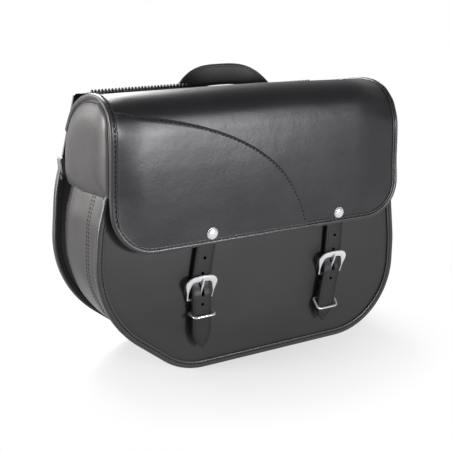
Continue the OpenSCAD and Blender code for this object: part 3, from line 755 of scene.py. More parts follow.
def rim_strip(name, path, outer, inner_side):
    """A folded strip over an edge: path is (x, y) in plan, the strip hangs down both sides."""
    normals = left_normals(path)
    half = (outer + inner_side) / 2
    section = [
        (-half, -8), (-half - 0.2, -2), (-half + 0.2, 0.6), (-half + 1.2, 1.7), (0, 2.1), (half - 1.2, 1.7),
        (half - 0.2, 0.6), (half + 0.2, -2), (half, -8), (half - 1.2, -8.2), (half - 1.3, 0.0), (-half + 1.3, 0.0),
        (-half + 1.2, -8.2),
    ]
    sections = []
    for (x, y), (nx, ny) in zip(path, normals):
        sections.append([place(x + nx * a, y + ny * a, MOUTH + b) for a, b in section])
    return swept(name, sections, EDGE_MAT)


def x_at(loop, h, side):
    """Outermost x of an outline at a height, on one side."""
    n = len(loop)
    hits = []
    for i in range(n):
        a, b = loop[i - 1], loop[i]
        if (a[1] - h) * (b[1] - h) <= 0 and abs(a[1] - b[1]) > 1e-9:
            hits.append(a[0] + (b[0] - a[0]) * (h - a[1]) / (b[1] - a[1]))
    return max(hits, key=lambda x: side * x)


left_rim = x_at(front_loop, MOUTH, -1)
right_rim = x_at(front_loop, MOUTH, 1)
rim_path = resample(
    [(left_rim + 7.2, -12.0), (left_rim + 5.4, -30), (left_rim + 5.2, -100), (left_rim + 6.6, FRONT_REAR + 2.0),
     (left_rim + 12, FRONT_FACE + 2.2), (right_rim - 12, FRONT_FACE + 2.2), (right_rim - 6.6, FRONT_REAR + 2.0),
     (right_rim - 5.2, -100), (right_rim - 5.4, -30), (right_rim - 7.2, -12.0)],
    step=5.0,
)
rim = rim_strip("mouth_rim_leather", rim_path, 4.2, 4.2)
finish_piece(rim, "bag", "edge_leather", "mouth_trim")


def cloth_bag():
    """The lining: front and back sheets joined round the sides and bottom, open at the mouth."""
    loop = clipped_loop(FRONT_CORNERS, 11.5, MOUTH - 7)
    front_y, back_y = FRONT_REAR + 3.2, GUSSET_REAR - 2.9
    count = len(loop)
    centre = loop.mean(0)
    layers = []
    for t in np.linspace(0.02, 1, 16):
        layers.append((t, front_y))
    for y in np.linspace(front_y + 3, back_y - 3, 12):
        layers.append((1.0, y))
    for t in np.linspace(1, 0.02, 16):
        layers.append((t, back_y))
    verts = []
    for k, (t, y) in enumerate(layers):
        for x, h in centre + (loop - centre) * t:
            wave = noise.noise(Vector((x / 40, h / 30, y / 35)))
            sag = 1.0 * wave
            into = 1 if y == front_y else -1 if y == back_y else 0
            verts.append(place(x - np.sign(x) * abs(sag) * (into == 0) * 0.8, y + into * abs(sag), h))
    faces = []
    for i in range(len(layers) - 1):
        for j in range(count):
            a, b = j, (j + 1) % count
            wall = 15 <= i < 28
            if wall and loop[a][1] > MOUTH - 7.5 and loop[b][1] > MOUTH - 7.5:
                continue
            faces.append((i * count + a, i * count + b, (i + 1) * count + b, (i + 1) * count + a))
    faces.append(tuple(range(count)))
    faces.append(tuple((len(layers) - 1) * count + j for j in range(count)))
    obj = add_mesh("lining_cloth", verts, faces, LINING_MAT, sharp=60)
    return obj


lining = cloth_bag()
finish_piece(lining, "bag", "lining", "lining", "front_stiffener")

# Cloth on the inside of the back wall above the lining, and the base mat.
back_upper = below(rounded_loop(BACK_CORNERS, 14.0), 268)
upper_loop = [p for p in resample(back_upper, step=3.0) if p[1] > MOUTH - 12]
left_side = [p for p in upper_loop if p[0] < 0]
right_side = [p for p in upper_loop if p[0] > 0]
upper_loop = resample(np.array(left_side + right_side), step=4.0, closed=True)
back_cloth = ring_sheet(
    "back_wall_cloth", upper_loop, GUSSET_REAR - 3.4, GUSSET_REAR - 0.2, LINING_MAT, rings=10,
    relief=lambda x, h, t: 0.4 * smooth_step(t / 0.2) + ripple(x, h, 25, 4.0, 0.3) * t,
)
finish_piece(back_cloth, "bag", "lining", "back_stiffener")

mat_low, mat_high = node_box("base_board")
mat_corners = [
    (mat_high[0], mat_high[1], 8), (mat_low[0], mat_high[1], 8), (mat_low[0], mat_low[1], 8), (mat_high[0], mat_low[1], 8),
]
mat_loop = resample(rounded_loop(mat_corners), step=4.0, closed=True)
mat_centre = mat_loop.mean(0)
verts, mat_rings = [], [0.0, 0.01, 0.03] + list(np.linspace(0.08, 0.95, 10))
for t in mat_rings:
    for x, y in mat_centre + (mat_loop - mat_centre) * (1 - t):
        lift = mat_high[2] - 0.4 + 0.6 * smooth_step(t / 0.04) + ripple(x, y, 30, 9.0, 0.25) * t
        verts.append(place(x, y, lift))
count = len(mat_loop)
faces = grid_faces(len(mat_rings), count, wrap_cols=True)
faces.append(tuple((len(mat_rings) - 1) * count + j for j in range(count)))
base = len(verts)
verts += [place(x, y, mat_low[2]) for x, y in mat_loop]
faces += [(j, base + j, base + (j + 1) % count, (j + 1) % count) for j in range(count)]
faces.append(tuple(base + j for j in range(count)))
finish_piece(add_mesh("base_mat", verts, faces, LINING_MAT), "bag", "board", "base_board")


# Lid ----------------------------------------------------------------------------------------------

NOSE_R = 34.0
NOSE = np.array([-104.0, LID_TOP - NOSE_R])
FOOT = np.array([-139.5, FLAP_FOOT])
REAR = np.array([-11.5, 285.0])
FLAP_R = 46.0
LID_STEPS = 340


def smoothed(points, rounds):
    points = np.array(points, float)
    for _ in range(rounds):
        points[1:-1] = (points[:-2] + 2 * points[1:-1] + points[2:]) / 4
    return points


def lid_section():
    """The (y, h) outer face of the lid from the hinge to the flap edge."""
    points = [REAR]
    for a in np.linspace(-10, 70, 42):
        points.append(NOSE + NOSE_R * np.array([-math.sin(math.radians(a)), math.cos(math.radians(a))]))
    points += [(-138.4, 266), (-139.6, 247), (-140.2, 228), (-140.3, 205), (-140.1, 180), FOOT]
    return smoothed(resample(points, count=LID_STEPS), 40)


def end_section(points):
    """A softly rounded (y, h) section from the rear to the flap edge, for one end of the lid."""
    return smoothed(resample([*points, FOOT], count=LID_STEPS), 60)


def rear_lift(at):
    """How far the rear edge of the lid stands up over the sunken part of the back wall."""
    return 2.8 * float(smooth_step((at + 45.0) / 60.0)) * (1 - float(smooth_step((at - 70.0) / 60.0)))


section = lid_section()
section_s = np.r_[0, np.cumsum(np.linalg.norm(np.diff(section, axis=0), axis=1))]
LID_LEN = section_s[-1]
# The right end of the lid has sunk and is tucked in; the left end stands a little proud at the nose.
right_end = end_section(
    [REAR, (-40, 290), (-71, 294), (-91, 293), (-109, 287), (-124, 273), (-132, 253), (-133.5, 235), (-134.5, 205), (-137.5, 170)]
)
left_end = end_section(
    [(-21, 256), (-34, 273), (-49, 286), (-68, 295), (-90, 300.5), (-111, 301.5), (-129, 295), (-138.5, 284),
     (-141.5, 268), (-140.5, 254), (-138.5, 233), (-136, 205), (-137.5, 172)]
)
section_n = -left_normals(section)
right_n = -left_normals(right_end)
left_n = -left_normals(left_end)
crest_s = section_s[np.argmax(section[:, 1])]


def lid_point(x, s, e=0.0):
    """Point e proud of the lid's outer face, at x from the lid's middle and s from the hinge edge."""
    over = max(0.0, s - LID_LEN)
    under = min(0.0, s)
    k = min(max(s, 0.0), LID_LEN) / LID_LEN * (LID_STEPS - 1)
    i = min(int(k), LID_STEPS - 2)
    f = k - i
    p = section[i] * (1 - f) + section[i + 1] * f
    n = section_n[i] * (1 - f) + section_n[i + 1] * f
    if over:
        p = p + over * unit(section[-1] - section[-2])
    if under:
        p = p + under * unit(section[3] - section[0])
    at = LID_X + x
    weight_right = float(smooth_step((at - 105.0) / 70.0)) ** 1.3
    weight_left = float(smooth_step((-150.0 - at) / 38.0))
    for weight, end, end_n in ((weight_right, right_end, right_n), (weight_left, left_end, left_n)):
        if weight > 0:
            q = end[i] * (1 - f) + end[i + 1] * f
            base = section[i] * (1 - f) + section[i + 1] * f
            p = p + (q - base) * weight
            n = unit(n + (end_n[i] * (1 - f) + end_n[i + 1] * f - n) * weight)
    # The crown sags a little towards the right, and the flap has slow waves.
    crown = float(smooth_step(1 - abs(s - crest_s) / 90.0))
    sag = float(np.interp(at, (10, 48, 107, 147), (0, 0.9, 2.3, 3.2))) * (1 - weight_right) * crown
    p = p + np.array([0.0, rear_lift(at) * (1 - float(smooth_step(s / 75.0))) - sag])
    soft = 0.0
    if s > crest_s:
        soft = 0.9 * noise.noise(Vector((at / 95.0, s / 80.0, 1.3))) * float(smooth_step((s - crest_s) / 60))
    p = p + n * (e + soft)
    return np.array([at, p[0], p[1]])


def s_of_height(h):
    """Distance from the hinge edge at which the front of the lid is at a height."""
    front = section_s >= crest_s
    return float(np.interp(-h, -section[front, 1], section_s[front]))


def s_bottom(x, inset=0.0):
    """Distance from the hinge to the rounded lower edge of the flap, at x."""
    r = FLAP_R - inset
    reach = abs(x) - (LID_HALF - FLAP_R)
    if reach <= 0:
        return LID_LEN - inset
    reach = min(reach, r)
    return LID_LEN - inset - r + math.sqrt(max(r * r - reach * reach, 0.0))


def lid_columns(inset):
    """x positions across the lid, closer together at the rounded corners."""
    flat = LID_HALF - FLAP_R
    r = FLAP_R - inset
    side = [flat + r * math.sin(a) for a in np.linspace(0, math.pi / 2, 16)]
    middle = list(np.linspace(-flat, flat, 70))
    return [-x for x in side[:0:-1]] + middle + side[1:]


def lid_sheet(name, e_out, e_in, material, inset, rows=110, start=0.0):
    """The lid leather as a closed sheet between two offsets from the outer face."""
    columns = lid_columns(inset)
    verts = []
    for e in (e_out, e_in):
        for x in columns:
            end = s_bottom(x, inset)
            hold = LID_LEN * 0.72
            for j in range(rows):
                t = j / (rows - 1)
                s = start + (LID_LEN - start) * t
                if s > hold:
                    s = hold + (end - hold) * (s - hold) / (LID_LEN - hold)
                verts.append(place(*lid_point(x, s, e)))
    n = len(columns)
    size = n * rows
    faces = grid_faces(n, rows)
    faces += [tuple(size + i for i in f) for f in grid_faces(n, rows)]
    rim_ids = [i * rows for i in range(n)] + [(n - 1) * rows + j for j in range(1, rows)]
    rim_ids += [i * rows + rows - 1 for i in range(n - 2, -1, -1)] + [j for j in range(rows - 2, 0, -1)]
    for a, b in zip(rim_ids, rim_ids[1:] + rim_ids[:1]):
        faces.append((a, b, size + b, size + a))
    return add_mesh(name, verts, faces, material, sharp=60)


lid = lid_sheet("lid_leather", 0.0, -LEATHER + 0.6, FLAP_MAT, 1.2)
finish_piece(lid, "lid", "leather", "lid_shell")


def lid_border(inset=0.0, side_start=0.0):
    """The (x, s) border of the lid from the rear left corner round the flap to the rear right corner."""
    r = FLAP_R - inset
    x = LID_HALF - inset
    flat = LID_HALF - FLAP_R
    points = [(-x, side_start), (-x, LID_LEN - FLAP_R)]
    for a in np.linspace(0, 90, 24):
        points.append((-flat - r * math.cos(math.radians(a)), LID_LEN - FLAP_R + r * math.sin(math.radians(a))))
    points.append((flat, LID_LEN - inset))
    for a in np.linspace(0, 90, 24):
        points.append((flat + r * math.sin(math.radians(a)), LID_LEN - FLAP_R + r * math.cos(math.radians(a))))
    points.append((x, side_start))
    return resample(points, step=3.0)


border = lid_border()
border_normals = left_normals(border)
if (border_normals[len(border) // 2])[1] > 0:
    border_normals = -border_normals
LIP = 6.8
binding_section = [
    (LIP, 0.1), (LIP + 0.05, 0.75), (LIP - 0.3, 1.15), (LIP - 0.9, 1.3), (LIP - 1.4, 1.25), (LIP - 1.8, 0.45),
    (LIP - 2.9, 0.45), (LIP - 3.3, 1.35), (2.4, 1.65), (1.2, 1.6), (0.2, 1.1), (-0.35, 0.1), (-0.45, -1.4),
    (-0.35, -2.9), (0.2, -3.9), (1.2, -4.3), (2.6, -4.4), (LIP - 1.2, -4.2), (LIP - 0.2, -3.9), (LIP, -3.1),
    (1.0, -3.0), (1.0, 0.05),
]
sections = []
for (x, s), (nx, ns) in zip(border, border_normals):
    sections.append([place(*lid_point(x + nx * d, s + ns * d, e)) for d, e in binding_section])
lid_binding = swept("lid_binding_leather", sections, EDGE_MAT)
finish_piece(lid_binding, "lid", "edge_leather", "lid_binding")


def surface_row(pairs, e):
    """Points and normals on the lid for (x, s) pairs."""
    points, normals = [], []
    for x, s in pairs:
        p, q = lid_point(x, s, e), lid_point(x, s, e + 1.0)
        points.append(p)
        normals.append(q - p)
    return points, normals


stitch_d = LIP - 2.35
pairs = [(x + nx * stitch_d, s + ns * stitch_d) for (x, s), (nx, ns) in zip(border, border_normals)]
finish_piece(
    stitches("lid_binding_stitches", *surface_row(pairs, 0.75), THREAD_MAT, pitch=5.0, length=3.4, radius=0.7), "lid", "edge_leather"
)

# The overlay covers the flap's lower left, under a falling curved seam.
OVERLAY_T = 1.25
seam_start, seam_bend, seam_end = np.array([-173.5, 285.5]), np.array([26.5, 265.0]), np.array([52.5, 145.0])


def seam_xh(t):
    return (1 - t) ** 2 * seam_start + 2 * t * (1 - t) * seam_bend + t * t * seam_end


seam = []
for t in np.linspace(0, 1, 80):
    x, h = seam_xh(t)
    if s_of_height(h) < s_bottom(x, 2.0):
        seam.append((x, s_of_height(h)))
seam = resample(seam, step=2.5)
seam_normals = left_normals(seam)
if seam_normals[0][1] < 0:
    seam_normals = -seam_normals
overlay_rows = 46
verts = []
for edge_lift in (0, 1):
    for (x, s), (nx, ns) in zip(seam, seam_normals):
        end = s_bottom(x, 2.0)
        for j in range(overlay_rows):
            t = j / (overlay_rows - 1)
            d = (end - s) * t
            rise = OVERLAY_T * float(smooth_step((d + 0.25) / 1.1)) if edge_lift == 0 else 0.02
            verts.append(place(*lid_point(x, s + d, rise)))
n = len(seam)
size = n * overlay_rows
faces = grid_faces(n, overlay_rows)
faces += [tuple(size + i for i in f) for f in grid_faces(n, overlay_rows)]
ids = [i * overlay_rows for i in range(n)] + [(n - 1) * overlay_rows + j for j in range(1, overlay_rows)]
ids += [i * overlay_rows + overlay_rows - 1 for i in range(n - 2, -1, -1)] + [j for j in range(overlay_rows - 2, 0, -1)]
for a, b in zip(ids, ids[1:] + ids[:1]):
    faces.append((a, b, size + b, size + a))
overlay = add_mesh("lid_overlay_leather", verts, faces, OVERLAY_MAT, sharp=60)
finish_piece(overlay, "lid", "leather", "lid_overlay")
rows = []
for d in (2.6,):
    pairs = [(x + nx * d, s + ns * d) for (x, s), (nx, ns) in zip(seam, seam_normals)]
    pairs = [(x, s) for x, s in pairs if s < s_bottom(x, LIP + 1) and x > -LID_HALF + LIP + 1]
    rows.append(stitches("seam_row", *surface_row(pairs, OVERLAY_T), THREAD_MAT, pitch=5.0, length=3.4, radius=0.75))
finish_piece(join("overlay_stitches", rows), "lid", "leather")

# Cloth under the crown of the lid.
verts = []
lining_rows = 40
columns = np.linspace(-LID_HALF + 12, LID_HALF - 12, 60)
for e in (-LEATHER - 2.7, -LEATHER - 0.1):
    for x in columns:
        for j in range(lining_rows):
            s = 16 + (s_of_height(215) - 16) * j / (lining_rows - 1)
            edge = min(x + LID_HALF - 12, LID_HALF - 12 - x, s - 16, s_of_height(215) - s)
            puff = 0.5 * float(smooth_step(edge / 12)) * noise.noise(Vector((x / 22, s / 26, 5.0)))
            depth = e + puff if e < -4 else e
            if e < -4 and edge < 0.01:
                depth = -LEATHER - 1.2
            verts.append(place(*lid_point(x, s, depth)))
n = len(columns)
size = n * lining_rows
faces = grid_faces(n, lining_rows)
faces += [tuple(size + i for i in f) for f in grid_faces(n, lining_rows)]
ids = [i * lining_rows for i in range(n)] + [(n - 1) * lining_rows + j for j in range(1, lining_rows)]
ids += [i * lining_rows + lining_rows - 1 for i in range(n - 2, -1, -1)] + [j for j in range(lining_rows - 2, 0, -1)]
for a, b in zip(ids, ids[1:] + ids[:1]):
    faces.append((a, b, size + b, size + a))
finish_piece(add_mesh("lid_lining_cloth", verts, faces, LINING_MAT, sharp=60), "lid", "lining", "lid_stiffener")

# The leather hinge: from under the crown back and down the inside of the back panel.
hinge_path = resample(
    [(-30.0, 285.2), (-20.0, 283.4), (-13.0, 282.0), (-9.4, 280.6), (-7.4, 278.0), (-6.6, 274.6), (-6.5, 270.0)], step=1.5
)
hinge_normals = left_normals(hinge_path)
sections = []
for x in np.linspace(-150, 150, 61):
    sag = 0.25 * math.sin(x / 9.0)
    ring = []
    for face, order in ((0.7, 1), (-0.7, -1)):
        for (y, h), (ny, nh) in list(zip(hinge_path, hinge_normals))[::order]:
            up = sag * 0.3 + rear_lift(x) * float(smooth_step((-8.0 - y) / 8.0))
            ring.append(place(x, y + ny * face, h + nh * face + up))
    sections.append(ring)
hinge_strip = swept("lid_hinge_leather", sections, LEATHER_MAT, sharp=60)
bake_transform(hinge_strip)

# Padded lid ends.
CAP_CORNERS = {
    -1: [(-13, 296.5, 84), (-135, 296.5, 24), (-134, 245, 60), (-131, 203.5, 3), (-62, 195.2, 90), (-13, 196.5, 14)],
    1: [(-13, 286, 46), (-127.5, 286, 40), (-128, 243, 40), (-120, 202, 3), (-13, 195.5, 12)],
}
CAP_RIM_X = 177.5
CAP_PUFF = 9.0
CAP_COUNT = 190
cap_rings = [0.0, 0.01, 0.03, 0.06, 0.1, 0.15] + list(np.linspace(0.21, 0.96, 22))


def cap_loop(side, inset):
    return resample(rounded_loop(CAP_CORNERS[side], inset, 2.0), count=CAP_COUNT, closed=True)


def cap_height(t, y, h):
    """How far the pad stands out, with t 0 at the seam and 1 in the middle."""
    round_up = (1 - (1 - min(t / 0.62, 1.0)) ** 2.3) ** (1 / 2.0)
    waves = 0.5 * noise.noise(Vector((y / 26.0, h / 42.0, 8.0))) * float(smooth_step(t / 0.3))
    return CAP_PUFF * round_up + waves


for side, word in ((-1, "left"), (1, "right")):
    outline = cap_loop(side, 1.9)
    centre = outline.mean(0)
    rim_x = LID_X + side * CAP_RIM_X
    verts = []
    for t in cap_rings:
        for y, h in centre + (outline - centre) * (1 - t):
            verts.append(place(rim_x + side * cap_height(t, y, h), y, h))
    count = len(outline)
    faces = grid_faces(len(cap_rings), count, wrap_cols=True)
    faces.append(tuple((len(cap_rings) - 1) * count + j for j in range(count)))
    base = len(verts)
    verts += [place(rim_x - side * 2.0, y, h) for y, h in outline]
    faces += [(j, base + j, base + (j + 1) % count, (j + 1) % count) for j in range(count)]
    inner_base = len(verts)
    for t in cap_rings[1:]:
        for y, h in centre + (outline - centre) * (1 - t):
            verts.append(place(rim_x - side * (2.0 + 0.8 * float(smooth_step(t / 0.1))), y, h))
    for i in range(len(cap_rings) - 2):
        for j in range(count):
            a, b = inner_base + i * count + j, inner_base + i * count + (j + 1) % count
            faces.append((a, b, b + count, a + count))
    faces += [(base + j, inner_base + j, inner_base + (j + 1) % count, base + (j + 1) % count) for j in range(count)]
    faces.append(tuple(inner_base + (len(cap_rings) - 2) * count + j for j in range(count)))
    # The pads take the cap leather, whose paler base colour is painted light from the left.
    pad = add_mesh(f"end_pad_{word}", verts, faces, CAP_PAINTED_LIGHT_MAT, sharp=60)
    bm = bmesh.new()
    bm.from_mesh(pad.data)
    bm.verts.ensure_lookup_table()
    inside = [bm.verts[i] for i in range(count * 4, count * len(cap_rings))]
    for _ in range(14):
        bmesh.ops.smooth_vert(bm, verts=inside, factor=0.5, use_axis_x=True, use_axis_y=True, use_axis_z=True)
    bm.to_mesh(pad.data)
    bm.free()
    finish_piece(pad, "lid", "leather", f"end_cap_{word}", f"cap_foam_{word}")

    # A flat bound edge all round the pad, and a thin welt in the seam.
    edge_path = cap_loop(side, 0.0)
    edge_n = left_normals(edge_path, True)
    lip = [
        (2.2, 0.5), (2.1, 1.2), (1.5, 1.7), (0.8, 1.5), (0.2, 0.9), (-0.1, 0.0), (-0.1, -1.4),
        (0.2, -2.4), (1.2, -2.9), (3.6, -2.9), (3.6, -2.2), (1.4, -1.9), (1.2, 0.3),
    ]
    sections = []
    for (y, h), (ny, nh) in zip(edge_path, edge_n):
        sections.append([place(rim_x + side * x, y + ny * d, h + nh * d) for d, x in lip])
    finish_piece(swept(f"end_pad_binding_{word}", sections, EDGE_MAT, closed=True), "lid", "edge_leather")
    welt_path = [(rim_x + side * 1.9, y, h) for y, h in cap_loop(side, 2.4)]
    finish_piece(
        tube(f"end_pad_welt_{word}", welt_path, 0.95, THREAD_MAT, sides=8, closed=True), "lid", "edge_leather"
    )


# Zip half -----------------------------------------------------------------------------------------

zip_low, zip_high = node_box("zip_teeth")
tape_low, tape_high = node_box("zip_tape")
tape_sections = []
for x in np.linspace(tape_low[0], tape_high[0], 80):
    wave = 0.25 * math.sin(x / 17.0)
    profile = [
        (tape_low[1], tape_low[2]), (tape_low[1], tape_high[2] - 1), (-3.3 + wave, tape_high[2] + 0.2),
        (-2.9 + wave, tape_high[2] + 1.6), (-0.6 + wave, tape_high[2] + 1.6), (-0.3 + wave, tape_high[2]),
        (tape_high[1], tape_high[2] - 2), (tape_high[1], tape_low[2]),
    ]
    tape_sections.append([place(x, y, h - rear_sag(x)) for y, h in profile])
finish_piece(swept("zip_tape_cloth", tape_sections, TAPE_MAT), "bag", "tape", "zip_tape")
row = stitches(
    "zip_tape_stitches", [(x, tape_high[1] + 0.1, tape_low[2] + 3 - rear_sag(x)) for x in np.linspace(tape_low[0] + 2, tape_high[0] - 2, 60)],
    [(0, 1, 0)] * 60, THREAD_MAT, radius=0.4,
)
finish_piece(row, "bag", "tape")

pitch = 4.0
tooth_outline = [(-3.4, 0.4), (-3.7, 1.6), (-3.1, 3.6), (-2.3, 4.4), (-1.0, 4.4), (-0.1, 3.6), (0.5, 1.6), (0.2, 0.4)]
verts, faces = [], []
positions = np.arange(zip_low[0] + 1.1, zip_high[0] - 1.0, pitch)
for x0 in positions:
    base = len(verts)
    layers = [(-1.15, 0.72), (-0.85, 0.95), (0.85, 0.95), (1.15, 0.72)]
    for dx, scale in layers:
        for y, h in tooth_outline:
            taper = 1.0 - 0.16 * max(0.0, h - 1.6)
            verts.append(
                place(x0 + dx * taper * 1.15, -1.6 + (y + 1.6) * scale, zip_low[2] - rear_sag(x0) + 1.8 + (h - 1.8) * scale)
            )
    m = len(tooth_outline)
    for i in range(3):
        for j in range(m):
            a, b = base + i * m + j, base + i * m + (j + 1) % m
            faces.append((a, b, b + m, a + m))
    faces.append(tuple(base + j for j in range(m)))
    faces.append(tuple(base + 3 * m + j for j in range(m)))
finish_piece(add_mesh("zip_teeth_moulded", verts, faces, ZIP_MAT, sharp=50), "bag", "zip_plastic", "zip_teeth")

box_low, box_high = node_box("zip_pin_box")
box_drop = rear_sag((box_low[0] + box_high[0]) / 2)
box_foot, box_top = box_low[2] - box_drop, box_high[2] - box_drop - 3.2
pin_box = extrude_x(
    "zip_box_moulded",
    [(box_low[1], box_foot), (box_high[1], box_foot), (box_high[1], box_top - 1.2),
     (box_high[1] - 1.0, box_top), (box_low[1] + 1.0, box_top), (box_low[1], box_top - 1.2)],
    box_low[0], box_high[0], ZIP_MAT, 0.5,
)
finish_piece(pin_box, "bag", "zip_plastic", "zip_pin_box")


# Handle -------------------------------------------------------------------------------------------

HANDLE_X, HANDLE_HALF, HANDLE_W, HANDLE_T = 20.0, 65.0, 25.0, 4.0
HANDLE_Y, HANDLE_BULGE, HANDLE_RISE, HANDLE_POWER, HANDLE_FOOT = 0.8, 11.0, 37.5, 3.4, 262.0
TAB_LEN = 26.0
centre_line = []
slope = math.radians(63.3)
for a in np.linspace(-90, 90, 73):
    sn = math.sin(math.radians(a))
    fall = abs(sn) ** HANDLE_POWER
    centre_line.append((HANDLE_HALF * sn, HANDLE_Y + HANDLE_BULGE * (1 - fall), HANDLE_FOOT + HANDLE_RISE * (1 - fall)))
tab = [
    (-HANDLE_HALF - t * math.cos(slope), HANDLE_Y, HANDLE_FOOT - t * math.sin(slope)) for t in np.linspace(TAB_LEN, 1.5, 18)
]
centre_line = tab + centre_line + [(-x, y, h) for x, y, h in tab[::-1]]
# A rolling mean takes the kink out where the strap leaves its tabs.
line = resample(centre_line, step=1.5)
for _ in range(6):
    line[1:-1] = (line[:-2] + 2 * line[1:-1] + line[2:]) / 4
handle_s = np.r_[0, np.cumsum(np.linalg.norm(np.diff(line, axis=0), axis=1))]
tangents = np.gradient(line, axis=0)


def handle_frame(i):
    """Point, width direction and outward face direction of the handle strap at a sample."""
    t = unit(tangents[i])
    plan = unit((t[0], t[1], 0))
    face = np.array([-plan[1], plan[0], 0.0])
    across = unit(np.cross(face, t) * -1)
    if across[2] < 0:
        across = -across
    return line[i], across, face


def strap_ring(half, t):
    """Closed cross-section (across, out) of a flat strap with rounded edges and a slightly crowned face."""
    r = min(t * 0.42, half * 0.9)
    points = []
    for u in np.linspace(-1, 1, 9):
        points.append((u * (half - r), t / 2 + 0.25 * (1 - u * u)))
    for a in (60, 20, -20, -60):
        points.append((half - r + r * math.cos(math.radians(a)), (t / 2 - r) * np.sign(a) + r * math.sin(math.radians(a))))
    for u in np.linspace(1, -1, 9):
        points.append((u * (half - r), -t / 2))
    for a in (-120, -160, 160, 120):
        points.append((-half + r + r * math.cos(math.radians(a)), (t / 2 - r) * np.sign(math.sin(math.radians(a))) + r * math.sin(math.radians(a))))
    return points


def tab_half(s):
    """Half width of the handle strap, rounded off at the ends of its tabs."""
    r = 10.0
    end = min(s, handle_s[-1] - s)
    if end >= r:
        return HANDLE_W / 2
    return HANDLE_W / 2 - r + math.sqrt(max(r * r - (r - end) ** 2, 0.2))


def handle_station(s):
    i = min(max(int(np.searchsorted(handle_s, s)), 0), len(line) - 1)
    return handle_frame(i)


sections = []
for i in range(len(line)):
    p, across, face = handle_frame(i)
    section_points = strap_ring(tab_half(handle_s[i]), HANDLE_T)
    sections.append([place(HANDLE_X + q[0], q[1], q[2]) for q in (p + across * a + face * o for a, o in section_points)])
handle_piece = swept("handle_leather", sections, STRAP_MAT, sharp=60)
handle_stitch = []
for side in (-1, 1):
    for out in (-1, 1):
        points, normals = [], []
        for i in range(6, len(line) - 6):
            p, across, face = handle_frame(i)
            lift = HANDLE_T / 2 + (0.12 if out > 0 else 0.02)
            q = p + across * side * (tab_half(handle_s[i]) - 3.4) + face * out * lift
            if out < 0 and (i < 26 or i > len(line) - 27):
                continue
            points.append((HANDLE_X + q[0], q[1], q[2]))
            normals.append(face * out)
        handle_stitch.append(stitches("handle_row", points, normals, THREAD_MAT, radius=0.55))
handle_piece = join("handle_leather", [handle_piece] + handle_stitch)
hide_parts("handle", "handle_tabs")
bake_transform(handle_piece)


# Closing straps -----------------------------------------------------------------------------------

STRAP_HIGH_Y = FRONT_FACE - 5.5
STRAP_LOW_Y = FRONT_FACE - 9.8
STRAP_TIP = node_box("strap_left")[0][2]
side_path = [(STRAP_HIGH_Y, 168.0), (STRAP_HIGH_Y, 128.0)]
for t in np.linspace(0, 1, 20):
    side_path.append((STRAP_HIGH_Y + (STRAP_LOW_Y - STRAP_HIGH_Y) * float(smooth_step(t)), BAR_H + 19 - 14 * t))
side_path.append((STRAP_LOW_Y, STRAP_TIP))
side_path = resample(side_path, step=1.0)
side_s = np.r_[0, np.cumsum(np.linalg.norm(np.diff(side_path, axis=0), axis=1))]
side_n = left_normals(side_path)
if side_n[0][0] > 0:
    side_n = -side_n
STRAP_LEN = side_s[-1]


def strap_point(side, u, s, e):
    """Point on a strap: u across, s down from its top, e in front of its middle."""
    y = np.interp(s, side_s, side_path[:, 0]) + e * np.interp(s, side_s, side_n[:, 0])
    h = np.interp(s, side_s, side_path[:, 1]) + e * np.interp(s, side_s, side_n[:, 1])
    return np.array([strap_c(side, h) + u, y, h])


def tip_half(s, inset=0.0):
    """Half width of the strap: straight, then a long point."""
    left = STRAP_LEN - 1.4 * inset - s
    if left >= TIP_REACH:
        return STRAP_HALF - inset
    t = max(left, 0.0) / TIP_REACH
    return (STRAP_HALF - inset) * (1 - (1 - t) ** 2) ** 0.75


